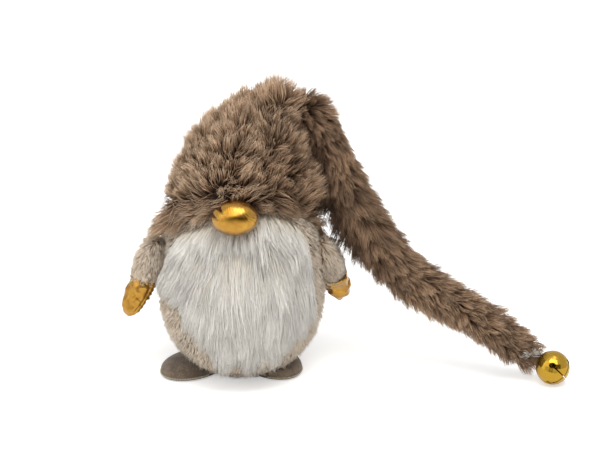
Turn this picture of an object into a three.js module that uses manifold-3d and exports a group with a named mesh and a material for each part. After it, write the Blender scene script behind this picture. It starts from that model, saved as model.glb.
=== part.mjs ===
// Fur gnome: a weighted, stuffed ornament with a long drooping hat that ends in a jingle bell.
//
// Millimetres, +Z up. The origin is the centre of the flat base, the gnome looks along -Y,
// and +X is to the right of someone who looks at its face. Left and right are that person's.
// Soft pieces are drawn at the outline of their pile, because that is the room they fill.

import * as THREE from 'three';
import { mergeVertices } from 'three/addons/utils/BufferGeometryUtils.js';
import Module from 'manifold-3d';

const wasm = await Module();
wasm.setup();

// Room left between two pieces that touch
const seam = 0.3;

// Cloths, each with its backing and its pile as it lies
const plushThickness = 3.4;
const furThickness = 8;
const foilThickness = 0.9;
const feltThickness = 1.2;

// Body: a ball of a belly that narrows to a round head. The flat base cuts the ball's lowest
// part off, and the base panel fills the opening inside the hem there
const bellyRadius = 48;
const baseCut = 4;
const bellyHeight = bellyRadius - baseCut;
const headTop = 135;
const headRoundness = 2.2;
const baseHem = 2.2;
const baseOpening = Math.sqrt(bellyRadius ** 2 - bellyHeight ** 2) - baseHem;
const basePanelThickness = 1.6;
const weightBagRadius = 24;
const weightBagHeight = 19;

// Nose: a ball sewn on to the head a little to one side. Its middle stands this share of its
// half depth in front of the head
const noseHalf = { x: 13.4, y: 10.4, z: 10.3 };
const noseShift = -3;
const noseHeight = 108.5;
const noseStandOff = 0.93;
const noseOpeningRadius = 4;

// Hat: the crown's fur from its foot, hidden under the brim, to its leaning top
const crownFoot = 66;
const crownTop = { height: 172.5, lean: 20 };
const crownHalfWidth = 47.5;
const crownHalfDepth = 48.5;

// Long pile parts into locks: at most this deep are the gaps between them. The crown's have
// their full depth wherever it is at least this share of its full width
const crownLockDepth = 4.4;
const crownLocksFullFrom = 0.7;
const beardLockDepth = 4;

// The crown's outline as shares of its height, its lean and its size
const crownSections = [
  { up: 0, lean: 0, size: 1 },
  { up: 0.225, lean: 0, size: 0.99 },
  { up: 0.395, lean: 0.015, size: 0.958 },
  { up: 0.526, lean: 0.04, size: 0.885 },
  { up: 0.648, lean: 0.11, size: 0.79 },
  { up: 0.76, lean: 0.3, size: 0.672 },
  { up: 0.854, lean: 0.55, size: 0.532 },
  { up: 0.93, lean: 0.775, size: 0.375 },
  { up: 0.977, lean: 0.925, size: 0.218 },
];

// The brim's edge: just over the middle of the nose, lower at the sides and lowest at the back
const brimOverNose = 2.5;
const brimFront = noseHeight + brimOverNose;
const brimSide = 83;
const brimDip = 8;
const brimBack = brimSide - brimDip;

// Hat tail: the middle line of the long fur tube, from the fold at the crown down to its tip
const tailRoute = [
  [42, 0, 154],
  [52.5, 0, 141],
  [59.5, 0, 122],
  [66, 0, 102],
  [74.5, -0.5, 84],
  [85.5, -1.5, 67],
  [98, -3.5, 54],
  [112, -7, 45.5],
  [130, -12, 38],
  [147, -17.5, 29.5],
];
const tailRadiusAtFold = 12.6;
const tailRadiusAtTip = 7.4;
const tailPinch = 0.82;

// Each length of the tail swells behind its round end, and narrows to a lip that stops short
// of the next one's middle, all as shares of the radius there. Its tip rounds off the same way
const swellFrom = 0.15;
const swellOver = 0.55;
const lipOver = 0.6;
const lipShortBy = 0.35;
const tipOver = 1.1;
const tailRowLength = 5.5;

// Distances along the tail of the three places where it bends, from the fold
const middleBendAt = 64;
const lowerBendAt = 116;
const tipBendAt = 158;

// Beard: it hangs from a hem just under the nose
const beardUnderNose = 11.9;
const beardTop = noseHeight - beardUnderNose;
const beardSideDrop = 10.5;
const beardHalfAngleTop = 48;
const beardHalfAngleBelly = 57;
const beardThickness = 8;
const beardHemThickness = 1.4;
const beardEdgeThickness = 1.6;
const beardBottom = 12;
const beardSideBottom = 46;

// Shares of the beard's fall by which it is at its widest and its thickest, and from which it
// thins by a share of its thickness. Below the belly's middle it leans in as it falls
const beardWideBy = 0.45;
const beardThickBy = 0.22;
const beardThinsFrom = 0.55;
const beardThinning = 0.65;
const beardLean = 0.07;

// Arms, by side: where the shoulder is sewn on, and the middle line down to the mitten's tip
const shoulderRadius = 7.4;
const elbowRadius = 8.5;
const cuffRadius = 7.4;
const mittenRadius = 9;
const mittenFlatness = 0.72;
const arms = {
  left: {
    shoulder: [-50, -5, 75],
    elbow: [-57, -8, 64],
    cuff: [-58, -10, 56.5],
    tip: [-67, -15, 36],
  },
  right: {
    shoulder: [50, -4, 75],
    elbow: [56.6, -2, 64],
    cuff: [56.8, 1, 56.5],
    tip: [59.5, 7, 39],
  },
};

// Feet: oval padded pads, by side, with the middle of the oval and its turn to the left.
// They lift a little about the base's edge, so the belly keeps clear of them over that swing.
const footHalfLength = 23;
const footHalfWidth = 16;
const footHeight = 6.5;
const footRimHeight = 2.6;
const footLift = 6;
const feet = {
  left: { x: -28.5, y: -5, splay: 38 },
  right: { x: 17.5, y: -2, splay: -26 },
};

// Jingle bell: four petals folded round a pellet, with a round hole at each petal's root
const bellRadius = 10;
const bellWall = 0.7;
const bellAxis = [0.6, -0.754, -0.258];
const bellPlace = [180.5, -28.5];
const petalCount = 4;
const petalHoleRadius = 1.6;
const petalHoleAngle = 63;
const petalSlitWidth = 0.9;
const loopHoleRadius = 1.9;
const loopWire = 0.9;
const loopHalfWidth = 2;
const loopHeight = 4;
const pelletRadius = 2.3;
const threadDiameter = 0.9;
const threadLoopLength = 4.2;
const threadLoopHeight = 5.2;
const knotRadius = 1.5;

// Facets round each form, and rows up the crown
const bodySides = 28;
const crownSides = 28;
const crownRows = 11;
const crownLockSides = 42;
const crownLockRows = 17;
const tailSides = 14;
const armSides = 12;
const footSides = 24;
const bellSides = 24;

const degrees = Math.PI / 180;
const smooth = (value) => {
  const share = Math.min(Math.max(value, 0), 1);
  return share * share * (3 - 2 * share);
};
const vector = (x, y, z) => new THREE.Vector3(x, y, z);
const place = (point) => new THREE.Vector3(...point);

// A closed triangle mesh as a solid that can be cut and joined
function toSolid(source) {
  const bare = source.clone();
  bare.deleteAttribute('normal');
  bare.deleteAttribute('uv');
  const merged = mergeVertices(bare, 1e-4);
  const corners = Array.from(merged.index.array);
  const triangles = [];
  for (let i = 0; i < corners.length; i += 3) {
    const [a, b, c] = corners.slice(i, i + 3);
    if (a !== b && b !== c && c !== a) {
      triangles.push(a, b, c);
    }
  }
  const mesh = new wasm.Mesh({
    numProp: 3,
    vertProperties: new Float32Array(merged.attributes.position.array),
    triVerts: new Uint32Array(triangles),
  });
  return new wasm.Manifold(mesh);
}

function toGeometry(solid) {
  const mesh = solid.getMesh();
  const geometry = new THREE.BufferGeometry();
  geometry.setAttribute('position', new THREE.BufferAttribute(mesh.vertProperties, 3));
  geometry.setIndex(new THREE.BufferAttribute(mesh.triVerts, 1));
  geometry.computeVertexNormals();
  return geometry;
}

function fromPoints(points, triangles) {
  const geometry = new THREE.BufferGeometry();
  const numbers = points.flatMap((point) => point.toArray());
  geometry.setAttribute('position', new THREE.Float32BufferAttribute(numbers, 3));
  geometry.setIndex(triangles.flat());
  return geometry;
}

// A turned form about +Z from a profile of [radius, height] points, bottom to top
function turned(profile, sides) {
  const points = profile.map(([radius, height]) => new THREE.Vector2(radius, height));
  const geometry = new THREE.LatheGeometry(points, sides);
  geometry.rotateX(Math.PI / 2);
  return toSolid(geometry);
}

function cylinder(radius, bottom, top, sides) {
  return turned([[0, bottom], [radius, bottom], [radius, top], [0, top]], sides);
}

function ball(centre, radius, sides) {
  const geometry = new THREE.SphereGeometry(radius, sides, Math.round(sides / 2));
  geometry.translate(centre.x, centre.y, centre.z);
  return toSolid(geometry);
}

function block(low, high) {
  const size = high.clone().sub(low);
  const geometry = new THREE.BoxGeometry(size.x, size.y, size.z);
  const middle = low.clone().add(high).multiplyScalar(0.5);
  geometry.translate(middle.x, middle.y, middle.z);
  return toSolid(geometry);
}

// One ring of a loft: an ellipse across the direction of travel
function ring(centre, travel, across, halfAcross, halfUp, sides) {
  const side = across.clone().addScaledVector(travel, -across.dot(travel)).normalize();
  const up = travel.clone().cross(side);
  return Array.from({ length: sides }, (_, i) => {
    const angle = (2 * Math.PI * i) / sides;
    return centre.clone()
      .addScaledVector(side, halfAcross * Math.cos(angle))
      .addScaledVector(up, halfUp * Math.sin(angle));
  });
}

function middleOf(points) {
  const sum = points.reduce((total, point) => total.add(point), vector(0, 0, 0));
  return sum.multiplyScalar(1 / points.length);
}

// A closed skin through rings that all have the same number of points
function loft(rings) {
  const sides = rings[0].length;
  const points = [...rings.flat(), middleOf(rings[0]), middleOf(rings.at(-1))];
  const firstMiddle = rings.length * sides;
  const lastMiddle = firstMiddle + 1;
  const lastRow = (rings.length - 1) * sides;
  const triangles = [];
  for (let side = 0; side < sides; side += 1) {
    const next = (side + 1) % sides;
    triangles.push([firstMiddle, next, side], [lastMiddle, lastRow + side, lastRow + next]);
    for (let row = 0; row < lastRow; row += sides) {
      triangles.push([row + side, row + next, row + sides + next]);
      triangles.push([row + side, row + sides + next, row + sides + side]);
    }
  }
  return toSolid(fromPoints(points, triangles));
}

// A padded sheet between two surfaces that share a grid, closed round its edges
function paddedSheet(columns, rows, front, back) {
  const width = columns + 1;
  const count = width * (rows + 1);
  const points = [];
  for (const surface of [front, back]) {
    for (let row = 0; row <= rows; row += 1) {
      for (let column = 0; column <= columns; column += 1) {
        points.push(surface((2 * column) / columns - 1, row / rows));
      }
    }
  }
  const triangles = [];
  const rim = (from, to) => {
    triangles.push([to, from, from + count], [to, from + count, to + count]);
  };
  for (let row = 0; row < rows; row += 1) {
    for (let column = 0; column < columns; column += 1) {
      const p = row * width + column;
      const q = p + 1;
      const r = p + width;
      const s = r + 1;
      triangles.push([p, r, q], [q, r, s]);
      triangles.push([p + count, q + count, r + count], [q + count, s + count, r + count]);
      if (row === 0) rim(q, p);
      if (row === rows - 1) rim(r, s);
      if (column === 0) rim(p, r);
      if (column === columns - 1) rim(s, q);
    }
  }
  return toSolid(fromPoints(points, triangles));
}

// Body

// Radius of the body at a height, grown on all sides by an offset
function bodyRadius(height, offset) {
  const rise = height - bellyHeight;
  const radius = bellyRadius + offset;
  if (rise <= 0) {
    return Math.sqrt(Math.max(radius ** 2 - rise ** 2, 0));
  }
  const share = Math.min(rise / (headTop - bellyHeight + offset), 1);
  return radius * (1 - share ** headRoundness) ** (1 / headRoundness);
}

function bodyForm(offset) {
  const bottom = -offset;
  const top = headTop + offset;
  const profile = [[0, bottom]];
  const lowest = Math.asin((bottom - bellyHeight) / (bellyRadius + offset));
  const lowerSteps = 5;
  for (let step = 0; step < lowerSteps; step += 1) {
    const angle = lowest * (1 - step / lowerSteps);
    const radius = (bellyRadius + offset) * Math.cos(angle);
    profile.push([radius, bellyHeight + (bellyRadius + offset) * Math.sin(angle)]);
  }
  const upperSteps = 8;
  for (let step = 0; step < upperSteps; step += 1) {
    const share = Math.sin((Math.PI / 2) * (step / upperSteps));
    const height = bellyHeight + (top - bellyHeight) * share;
    profile.push([bodyRadius(height, offset), height]);
  }
  profile.push([0, top]);
  return turned(profile, bodySides);
}

const body = bodyForm(0);
const bodyClearance = bodyForm(seam);
const panelHole = cylinder(baseOpening, -5, plushThickness + 2, bodySides);
const bodyCover = body.subtract(bodyForm(-plushThickness)).subtract(panelHole);
const basePanel = cylinder(baseOpening - seam, 0, basePanelThickness, bodySides);

// The bag of pellets fills the bottom of the cover and stands on the base panel
function weightBagForm(offset) {
  const steps = 10;
  const middle = basePanelThickness + seam + (weightBagHeight - basePanelThickness) / 3;
  const profile = [];
  for (let step = 0; step <= steps; step += 1) {
    const angle = Math.PI * (step / steps - 0.5);
    const height = middle + (weightBagHeight - middle + offset) * Math.sin(angle);
    profile.push([(weightBagRadius + offset) * Math.cos(angle), height]);
  }
  profile[0][0] = 0;
  profile[steps][0] = 0;
  return turned(profile, 28);
}

const innerRoom = bodyForm(-plushThickness - seam);
const bagNeck = cylinder(baseOpening - seam, basePanelThickness + seam, plushThickness + 2, 28);
const weightBag = weightBagForm(0).intersect(innerRoom.add(bagNeck));
const belowStuffing = cylinder(bellyRadius, -5, weightBagHeight / 2, 28);
const bodyStuffing = innerRoom.subtract(weightBagForm(seam)).subtract(belowStuffing);

// Hat crown

// Locks of pile lie like bricks: each is two rows long, with a gap on all sides
const inGap = (column, row) => (column + Math.floor(row / 2)) % 2;

// Outline of the crown, grown or shrunk on all sides by an offset, smooth or with its locks
function crownForm(offset, lockDepth = 0) {
  const rise = crownTop.height - crownFoot;
  const axis = new THREE.CatmullRomCurve3(
    crownSections.map(({ up, lean }) => vector(crownTop.lean * lean, 0, crownFoot + rise * up)),
  );
  const sizes = new THREE.CatmullRomCurve3(
    crownSections.map(({ size }) => vector(crownHalfWidth * size, crownHalfDepth * size, 0)),
  );
  const sides = lockDepth > 0 ? crownLockSides : crownSides;
  const steps = lockDepth > 0 ? crownLockRows : crownRows;
  const rings = [];
  for (let step = 0; step <= steps; step += 1) {
    const centre = axis.getPoint(step / steps);
    const size = sizes.getPoint(step / steps);
    if (size.x + offset > 3) {
      const outline = ring(centre, vector(0, 0, 1), vector(1, 0, 0),
        size.x + offset, size.y + offset, sides);
      const deepest = lockDepth * smooth(size.x / crownHalfWidth / crownLocksFullFrom);
      outline.forEach((point, column) => {
        point.lerp(centre, deepest * inGap(column, step) / point.distanceTo(centre));
      });
      rings.push(outline);
    }
  }
  const top = vector(crownTop.lean, 0, crownTop.height + offset);
  const lastRing = rings.at(-1);
  if (middleOf(lastRing).z >= top.z - 0.5) {
    rings.pop();
  }
  const tip = ring(top, vector(0, 0, 1), vector(1, 0, 0), 1, 1, sides);
  return loft([...rings, tip]);
}

// Everything below the brim, whose edge rises from the back to the front over the nose
function belowBrim() {
  const reach = crownHalfDepth;
  const slope = (brimFront - brimBack) / (2 * reach);
  const curve = ((brimFront + brimBack) / 2 - brimSide) / reach ** 2;
  const outline = new THREE.Shape();
  outline.moveTo(-2 * reach, 0);
  const steps = 12;
  for (let step = 0; step <= steps; step += 1) {
    const towardFront = reach * 1.2 * ((2 * step) / steps - 1);
    const height = brimSide + slope * towardFront + curve * towardFront ** 2;
    outline.lineTo(towardFront, height);
  }
  outline.lineTo(2 * reach, brimFront);
  outline.lineTo(2 * reach, 0);
  outline.closePath();
  const geometry = new THREE.ExtrudeGeometry(outline, { depth: 4 * reach, bevelEnabled: false });
  // The outline's first axis points to the front, its second one up, and it runs along X
  const turn = new THREE.Matrix4().makeBasis(
    vector(0, -1, 0),
    vector(0, 0, 1),
    vector(-1, 0, 0),
  );
  geometry.applyMatrix4(turn);
  geometry.translate(2 * reach, 0, 0);
  return toSolid(geometry);
}

// Bell, in its own frame: +Z runs from the petals' meeting point to the loop
const bellCentre = vector(bellPlace[0], bellPlace[1], bellRadius);
const bellDown = place(bellAxis).normalize();
const bellUp = bellDown.clone().negate();
const bellSide = vector(0, 0, 1).cross(bellUp).normalize();
const bellFrame = new THREE.Matrix4().makeBasis(bellSide, bellUp.clone().cross(bellSide), bellUp);

// The thread passes through the loop here, and the bell swings about it
const loopMiddle = bellRadius + loopHeight / 2 + loopWire / 4;
const loopCentre = bellCentre.clone().addScaledVector(bellUp, loopMiddle);

// Hat tail
const threadDirection = vector(-0.9, -0.39, 0.19).normalize();
const knotCentre = loopCentre.clone().addScaledVector(threadDirection, threadLoopLength);
const tailEnd = knotCentre.clone().addScaledVector(threadDirection, knotRadius + 2 * seam);
const tailLine = new THREE.CatmullRomCurve3([...tailRoute.map(place), tailEnd]);
const tailLength = tailLine.getLength();

function tailRadius(distance) {
  const share = Math.min(Math.max(distance / tailLength, 0), 1);
  return tailRadiusAtFold + (tailRadiusAtTip - tailRadiusAtFold) * share ** 1.6;
}

function tailFrame(distance) {
  const share = distance / tailLength;
  const travel = tailLine.getTangentAt(share);
  const across = travel.clone().cross(vector(0, 0, 1)).normalize();
  return { centre: tailLine.getPointAt(share), travel, across };
}

// The round end that a length of tail turns on, and the room round it in its socket
const socketRoom = 2 * seam;
const pinchRadius = (distance) => tailPinch * tailRadius(distance);

// A length of the tail: it starts in a round end and stops in a lip round the next one
function tailLengthForm(from, to, offset) {
  const rings = [];
  const start = tailFrame(from);
  const startBall = pinchRadius(from);
  const full = tailRadius(from);
  for (const angle of [78, 58, 38, 18]) {
    const back = (startBall + offset) * Math.sin(angle * degrees);
    const radius = (startBall + offset) * Math.cos(angle * degrees);
    rings.push(ring(start.centre.clone().addScaledVector(start.travel, -back),
      start.travel, start.across, radius, radius, tailSides));
  }
  const last = to >= tailLength;
  const lip = last ? tailLength : to - lipShortBy * pinchRadius(to);
  const steps = Math.max(6, Math.round((lip - from) / tailRowLength));
  for (let step = 0; step <= steps; step += 1) {
    const distance = from + (lip - from) * (step / steps);
    const frame = tailFrame(distance);
    const swell = smooth((distance - from - swellFrom * full) / (swellOver * full));
    let radius = startBall + (tailRadius(distance) - startBall) * swell;
    if (last) {
      const left = Math.max((tailLength - distance) / (tipOver * tailRadiusAtTip), 0);
      radius *= Math.sqrt(Math.max(1 - (1 - Math.min(left, 1)) ** 2, 0.03));
    } else {
      const wane = smooth((distance - lip + lipOver * full) / (lipOver * full));
      radius += (pinchRadius(to) - radius) * wane;
    }
    rings.push(ring(frame.centre, frame.travel, frame.across,
      radius + offset, radius + offset, tailSides));
  }
  return loft(rings);
}

function tailPart(from, to) {
  const form = tailLengthForm(from, to, 0);
  if (to >= tailLength) {
    return form;
  }
  return form.subtract(ball(tailFrame(to).centre, pinchRadius(to) + socketRoom, 20));
}

const tailUpper = tailPart(0, middleBendAt);
const tailMiddle = tailPart(middleBendAt, lowerBendAt);
const tailLower = tailPart(lowerBendAt, tipBendAt);
const tailTip = tailPart(tipBendAt, tailLength);

// Nose
function noseForm(offset) {
  const geometry = new THREE.SphereGeometry(1, 18, 12);
  geometry.rotateX(Math.PI / 2);
  geometry.scale(noseHalf.x + offset, noseHalf.y + offset, noseHalf.z + offset);
  const back = bodyRadius(noseHeight, seam);
  geometry.translate(noseShift, -back - noseHalf.y * noseStandOff, noseHeight);
  return toSolid(geometry);
}

const nose = noseForm(0).subtract(bodyClearance);
const noseHollow = noseForm(-foilThickness).subtract(bodyForm(seam + foilThickness));
const gatherHole = new THREE.CylinderGeometry(
  noseOpeningRadius,
  noseOpeningRadius,
  3 * noseHalf.y,
  20,
);
gatherHole.translate(noseShift, -bodyRadius(noseHeight, 0), noseHeight);
const gather = toSolid(gatherHole);
const noseCover = nose.subtract(noseHollow).subtract(gather);
const noseStuffing = noseForm(-foilThickness - seam)
  .subtract(bodyForm(2 * seam + foilThickness));

// Crown, cut by all that it holds or leans on
const foldSocket = ball(tailFrame(0).centre, pinchRadius(0) + socketRoom, 20);
const tailRest = tailLengthForm(0, middleBendAt, socketRoom);
const crownShell = crownForm(0, crownLockDepth)
  .subtract(crownForm(-furThickness))
  .subtract(bodyClearance)
  .subtract(belowBrim())
  .subtract(foldSocket)
  .subtract(tailRest)
  .subtract(noseForm(seam));
const headInHat = cylinder(bellyRadius, 0, brimFront + 3 * seam, crownSides);
const hatStuffing = crownForm(-furThickness - 2 * seam)
  .subtract(bodyClearance)
  .subtract(headInHat)
  .subtract(noseForm(seam))
  .subtract(ball(tailFrame(0).centre, pinchRadius(0) + 2 * socketRoom, 20));

// Beard: it hangs from its hem under the nose, over the belly, and straight down from there
const beardColumns = 14;
const beardRows = 12;

function beardPoint(across, down, outer) {
  const halfAngle = beardHalfAngleTop
    + (beardHalfAngleBelly - beardHalfAngleTop) * smooth(down / beardWideBy);
  const angle = across * halfAngle * degrees;
  const top = beardTop - beardSideDrop * across ** 2;
  const bottom = beardBottom + (beardSideBottom - beardBottom) * Math.abs(across) ** 2.4;
  const height = top + (bottom - top) * down;
  const inward = beardLean * Math.max(bellyHeight - height, 0);
  const radius = bodyRadius(Math.max(height, bellyHeight), 2 * seam) - inward;
  const edge = 1 - Math.abs(across) ** 4;
  const thinned = beardThinning * smooth((down - beardThinsFrom) / (1 - beardThinsFrom));
  const swell = smooth(down / beardThickBy) * (1 - thinned);
  const pile = beardHemThickness + (beardThickness - beardHemThickness) * swell;
  const column = Math.round(((across + 1) / 2) * beardColumns);
  const gap = beardLockDepth * inGap(column, Math.round(down * beardRows) + 1);
  const thickness = beardEdgeThickness + (pile - beardEdgeThickness) * edge
    - gap * edge * ((pile - beardHemThickness) / (beardThickness - beardHemThickness));
  const reach = radius + (outer ? Math.max(thickness, beardHemThickness) : 0);
  return vector(reach * Math.sin(angle), -reach * Math.cos(angle), height);
}

const beard = paddedSheet(beardColumns, beardRows,
  (across, down) => beardPoint(across, down, true),
  (across, down) => beardPoint(across, down, false));

// Arms

// A whole arm from its shoulder to the mitten's tip, grown or shrunk on all sides
function armForm(arm, offset) {
  const shoulder = place(arm.shoulder);
  const cuff = place(arm.cuff);
  const tip = place(arm.tip);
  const line = new THREE.CatmullRomCurve3([shoulder, place(arm.elbow), cuff, tip]);
  const outward = vector(Math.sign(shoulder.x), 0, 0);
  const start = line.getTangent(0);
  const rings = [];
  for (const angle of [75, 50, 25]) {
    const back = (shoulderRadius + offset) * Math.sin(angle * degrees);
    const radius = (shoulderRadius + offset) * Math.cos(angle * degrees);
    rings.push(ring(shoulder.clone().addScaledVector(start, -back),
      start, outward, radius, radius, armSides));
  }
  const cuffShare = 2 / 3;
  const shortened = (1 - cuffShare) * Math.max(-offset, 0) / cuff.distanceTo(tip);
  const steps = 11;
  for (let step = 0; step <= steps; step += 1) {
    const share = (1 - shortened) * (step / steps);
    const along = Math.max(share - cuffShare, 0) / (1 - cuffShare);
    const sleeveShare = Math.min(share / cuffShare, 1);
    const taper = shoulderRadius + (cuffRadius - shoulderRadius) * sleeveShare;
    const bulge = Math.sin(Math.PI * sleeveShare ** 0.9);
    const sleeve = taper + (elbowRadius - taper) * bulge;
    const rounded = Math.sqrt(Math.max(1 - along ** 3.2, 0.02));
    const wide = sleeve + (mittenRadius - sleeve) * smooth(along / 0.4);
    const deep = sleeve + (mittenRadius * mittenFlatness - sleeve) * smooth(along / 0.5);
    rings.push(ring(line.getPoint(share), line.getTangent(share), outward,
      Math.max(wide * rounded + offset, 0.3), Math.max(deep * rounded + offset, 0.3), armSides));
  }
  return loft(rings);
}

// Everything on the far side of a plane
function beyondPlane(point, direction) {
  const size = 400;
  const geometry = new THREE.BoxGeometry(size, size, size);
  geometry.translate(0, 0, size / 2);
  const turn = new THREE.Quaternion().setFromUnitVectors(vector(0, 0, 1), direction);
  geometry.applyQuaternion(turn);
  geometry.translate(point.x, point.y, point.z);
  return toSolid(geometry);
}

function armPieces(arm) {
  const side = Math.sign(arm.shoulder[0]);
  const sewnAt = bodyRadius(arm.shoulder[2] - shoulderRadius, seam);
  const inwards = vector(-side, 0, 0);
  const insideBody = beyondPlane(vector(side * sewnAt, 0, 0), inwards);
  const insideSleeve = beyondPlane(vector(side * (sewnAt + seam), 0, 0), inwards);
  const cuff = place(arm.cuff);
  const down = place(arm.tip).sub(place(arm.elbow)).normalize();
  const belowCuff = beyondPlane(cuff, down);
  const belowSeam = beyondPlane(cuff.clone().addScaledVector(down, seam), down);
  const lining = plushThickness / 2;
  return {
    sleeve: armForm(arm, 0).subtract(armForm(arm, -lining)).subtract(insideBody)
      .subtract(belowCuff),
    mitten: armForm(arm, 0).intersect(belowSeam).subtract(armForm(arm, -foilThickness)),
    stuffing: armForm(arm, -lining - seam).subtract(insideSleeve),
  };
}

// Feet

// A point of a foot's oval, from its own frame to the gnome's
function footPoint(foot, along, across, height) {
  const turn = foot.splay * degrees;
  const x = foot.x - along * Math.sin(turn) + across * Math.cos(turn);
  const y = foot.y - along * Math.cos(turn) - across * Math.sin(turn);
  return vector(x, y, height);
}

function footRing(foot, share, height, offset) {
  return Array.from({ length: footSides }, (_, i) => {
    const angle = (2 * Math.PI * i) / footSides;
    const along = (footHalfLength * share + offset) * Math.cos(angle);
    const across = (footHalfWidth * share + offset) * Math.sin(angle);
    return footPoint(foot, along, across, height);
  });
}

// A low crowned pad from its bottom height up, with a rounded rim
function footForm(foot, bottom, offset) {
  const top = footHeight + offset;
  const rings = [footRing(foot, 0.985, bottom, offset)];
  for (const share of [0, 0.35, 0.62, 0.82, 0.94, 0.99]) {
    const height = footRimHeight + (top - footRimHeight) * share;
    rings.push(footRing(foot, Math.sqrt(1 - share ** 2.6), height, offset));
  }
  return loft(rings);
}

// The belly as the foot meets it while it flexes up about the seam at the base's edge
function bellySweep(foot, offset) {
  const out = vector(foot.x, foot.y, 0).normalize();
  const hinge = out.clone().multiplyScalar(bodyRadius(0, 0));
  const axis = out.clone().cross(vector(0, 0, 1));
  let swept = bodyForm(offset);
  for (const share of [0.5, 1]) {
    const turn = new THREE.Matrix4().makeTranslation(hinge.x, hinge.y, hinge.z)
      .multiply(new THREE.Matrix4().makeRotationAxis(axis, -share * footLift * degrees))
      .multiply(new THREE.Matrix4().makeTranslation(-hinge.x, -hinge.y, -hinge.z));
    swept = swept.add(bodyForm(offset).transform(turn.elements));
  }
  return swept;
}

function footPieces(foot) {
  const soleTop = feltThickness;
  const past = 4 * footHalfLength;
  const near = bellySweep(foot, seam);
  const wall = seam + feltThickness;
  const sole = footForm(foot, 0, 0)
    .intersect(block(vector(-past, -past, -1), vector(past, past, soleTop)))
    .subtract(near);
  const above = block(vector(-past, -past, soleTop + seam), vector(past, past, past));
  const insideBelly = bellySweep(foot, wall);
  const hollow = footForm(foot, 0, -feltThickness).subtract(insideBelly);
  const upper = footForm(foot, 0, 0).intersect(above).subtract(near).subtract(hollow);
  const padding = footForm(foot, 0, -feltThickness - seam)
    .intersect(above)
    .subtract(bellySweep(foot, wall + seam));
  return { sole, upper, padding };
}

// Jingle bell
function bellShell() {
  const inner = bellRadius - bellWall;
  let shell = ball(vector(0, 0, 0), bellRadius, bellSides)
    .subtract(ball(vector(0, 0, 0), inner, bellSides))
    .subtract(cylinder(loopHoleRadius, 0, 2 * bellRadius, 16));
  for (let petal = 0; petal < petalCount; petal += 1) {
    const turn = ((petal + 0.5) * 360) / petalCount;
    shell = shell.subtract(petalGap(turn));
  }
  return shell;
}

// The gap between two petals: a round hole at their root and a slit that closes to the bottom
function petalGap(turn) {
  const polar = petalHoleAngle * degrees;
  const reach = bellRadius * Math.sin(polar);
  const hole = new THREE.CylinderGeometry(petalHoleRadius, petalHoleRadius, 6, 16);
  hole.rotateZ(-(Math.PI - polar));
  hole.translate(reach, 0, -bellRadius * Math.cos(polar));
  const slit = new THREE.Shape();
  slit.moveTo(0, -petalSlitWidth / 3);
  slit.lineTo(reach, -petalSlitWidth / 2);
  slit.lineTo(reach, petalSlitWidth / 2);
  slit.lineTo(0, petalSlitWidth / 3);
  slit.closePath();
  const slot = new THREE.ExtrudeGeometry(slit, { depth: bellRadius, bevelEnabled: false });
  slot.translate(0, 0, -bellRadius * Math.cos(polar) - bellRadius);
  return toSolid(hole).add(toSolid(slot)).rotate([0, 0, turn]);
}

// A wire staple: its feet spread under the shell and its arch stands out of the top hole
function bellLoop() {
  const under = bellRadius - bellWall - loopWire / 2;
  const neck = loopHoleRadius - loopWire / 2 - seam;
  const arch = bellRadius + loopHeight;
  const half = [
    [loopHalfWidth + 0.9, under - 1.1],
    [neck + 0.5, under - 0.7],
    [neck, under + 0.7],
    [loopHalfWidth, bellRadius + loopHeight / 2],
    [loopHalfWidth * 0.72, arch - 0.6],
  ];
  const mirrored = [...half].reverse().map(([x, z]) => [-x, z]);
  const points = [...half, [0, arch], ...mirrored];
  const route = new THREE.CatmullRomCurve3(points.map(([x, z]) => vector(x, 0, z)));
  const section = new THREE.Shape();
  section.absarc(0, 0, loopWire / 2, 0, 2 * Math.PI);
  const geometry = new THREE.ExtrudeGeometry(section, {
    steps: 22, curveSegments: 4, extrudePath: route, bevelEnabled: false,
  });
  return toSolid(geometry);
}

// A thread ring through the bell's loop, closed by a knot against the tail's tip
function bellThread() {
  const along = threadLoopLength / 2;
  const travel = threadDirection;
  const up = vector(0, 0, 1).addScaledVector(travel, -travel.z).normalize();
  const middle = loopCentre.clone().addScaledVector(travel, along);
  const unitRing = 2;
  const geometry = new THREE.TorusGeometry(unitRing, 1, 6, 18);
  const positions = geometry.attributes.position;
  const point = vector(0, 0, 0);
  for (let i = 0; i < positions.count; i += 1) {
    point.fromBufferAttribute(positions, i);
    const turn = Math.atan2(point.y, point.x);
    const outward = Math.hypot(point.x, point.y) - unitRing;
    const wide = along + (outward * threadDiameter) / 2;
    const high = threadLoopHeight / 2 + (outward * threadDiameter) / 2;
    const thread = middle.clone()
      .addScaledVector(travel, wide * Math.cos(turn))
      .addScaledVector(up, high * Math.sin(turn))
      .addScaledVector(travel.clone().cross(up), (point.z * threadDiameter) / 2);
    positions.setXYZ(i, thread.x, thread.y, thread.z);
  }
  return toSolid(geometry).add(ball(knotCentre, knotRadius, 10));
}

// Colours and finishes, as they show on the outside
const material = (colour, roughness, metalness) => new THREE.MeshStandardMaterial({
  color: colour, roughness, metalness,
});
const finishes = {
  beigePlush: () => material(0xc2b29f, 0.95, 0),
  taupeFur: () => material(0x8a705c, 0.95, 0),
  whiteFur: () => material(0xd8d6d0, 0.95, 0),
  goldFoil: () => material(0xd0a02c, 0.35, 0.8),
  suedeFelt: () => material(0x7a6e64, 0.9, 0),
  fibreFill: () => material(0xf2f1ec, 0.95, 0),
  cotton: () => material(0xe8e2d6, 0.9, 0),
  brass: () => material(0xd4a629, 0.2, 1),
  steel: () => material(0x9a9a9a, 0.3, 1),
};

const gnome = new THREE.Group();

function addPiece(name, solid, finish, parent = gnome) {
  const mesh = new THREE.Mesh(toGeometry(solid), finish());
  mesh.name = name;
  parent.add(mesh);
  return mesh;
}

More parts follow.
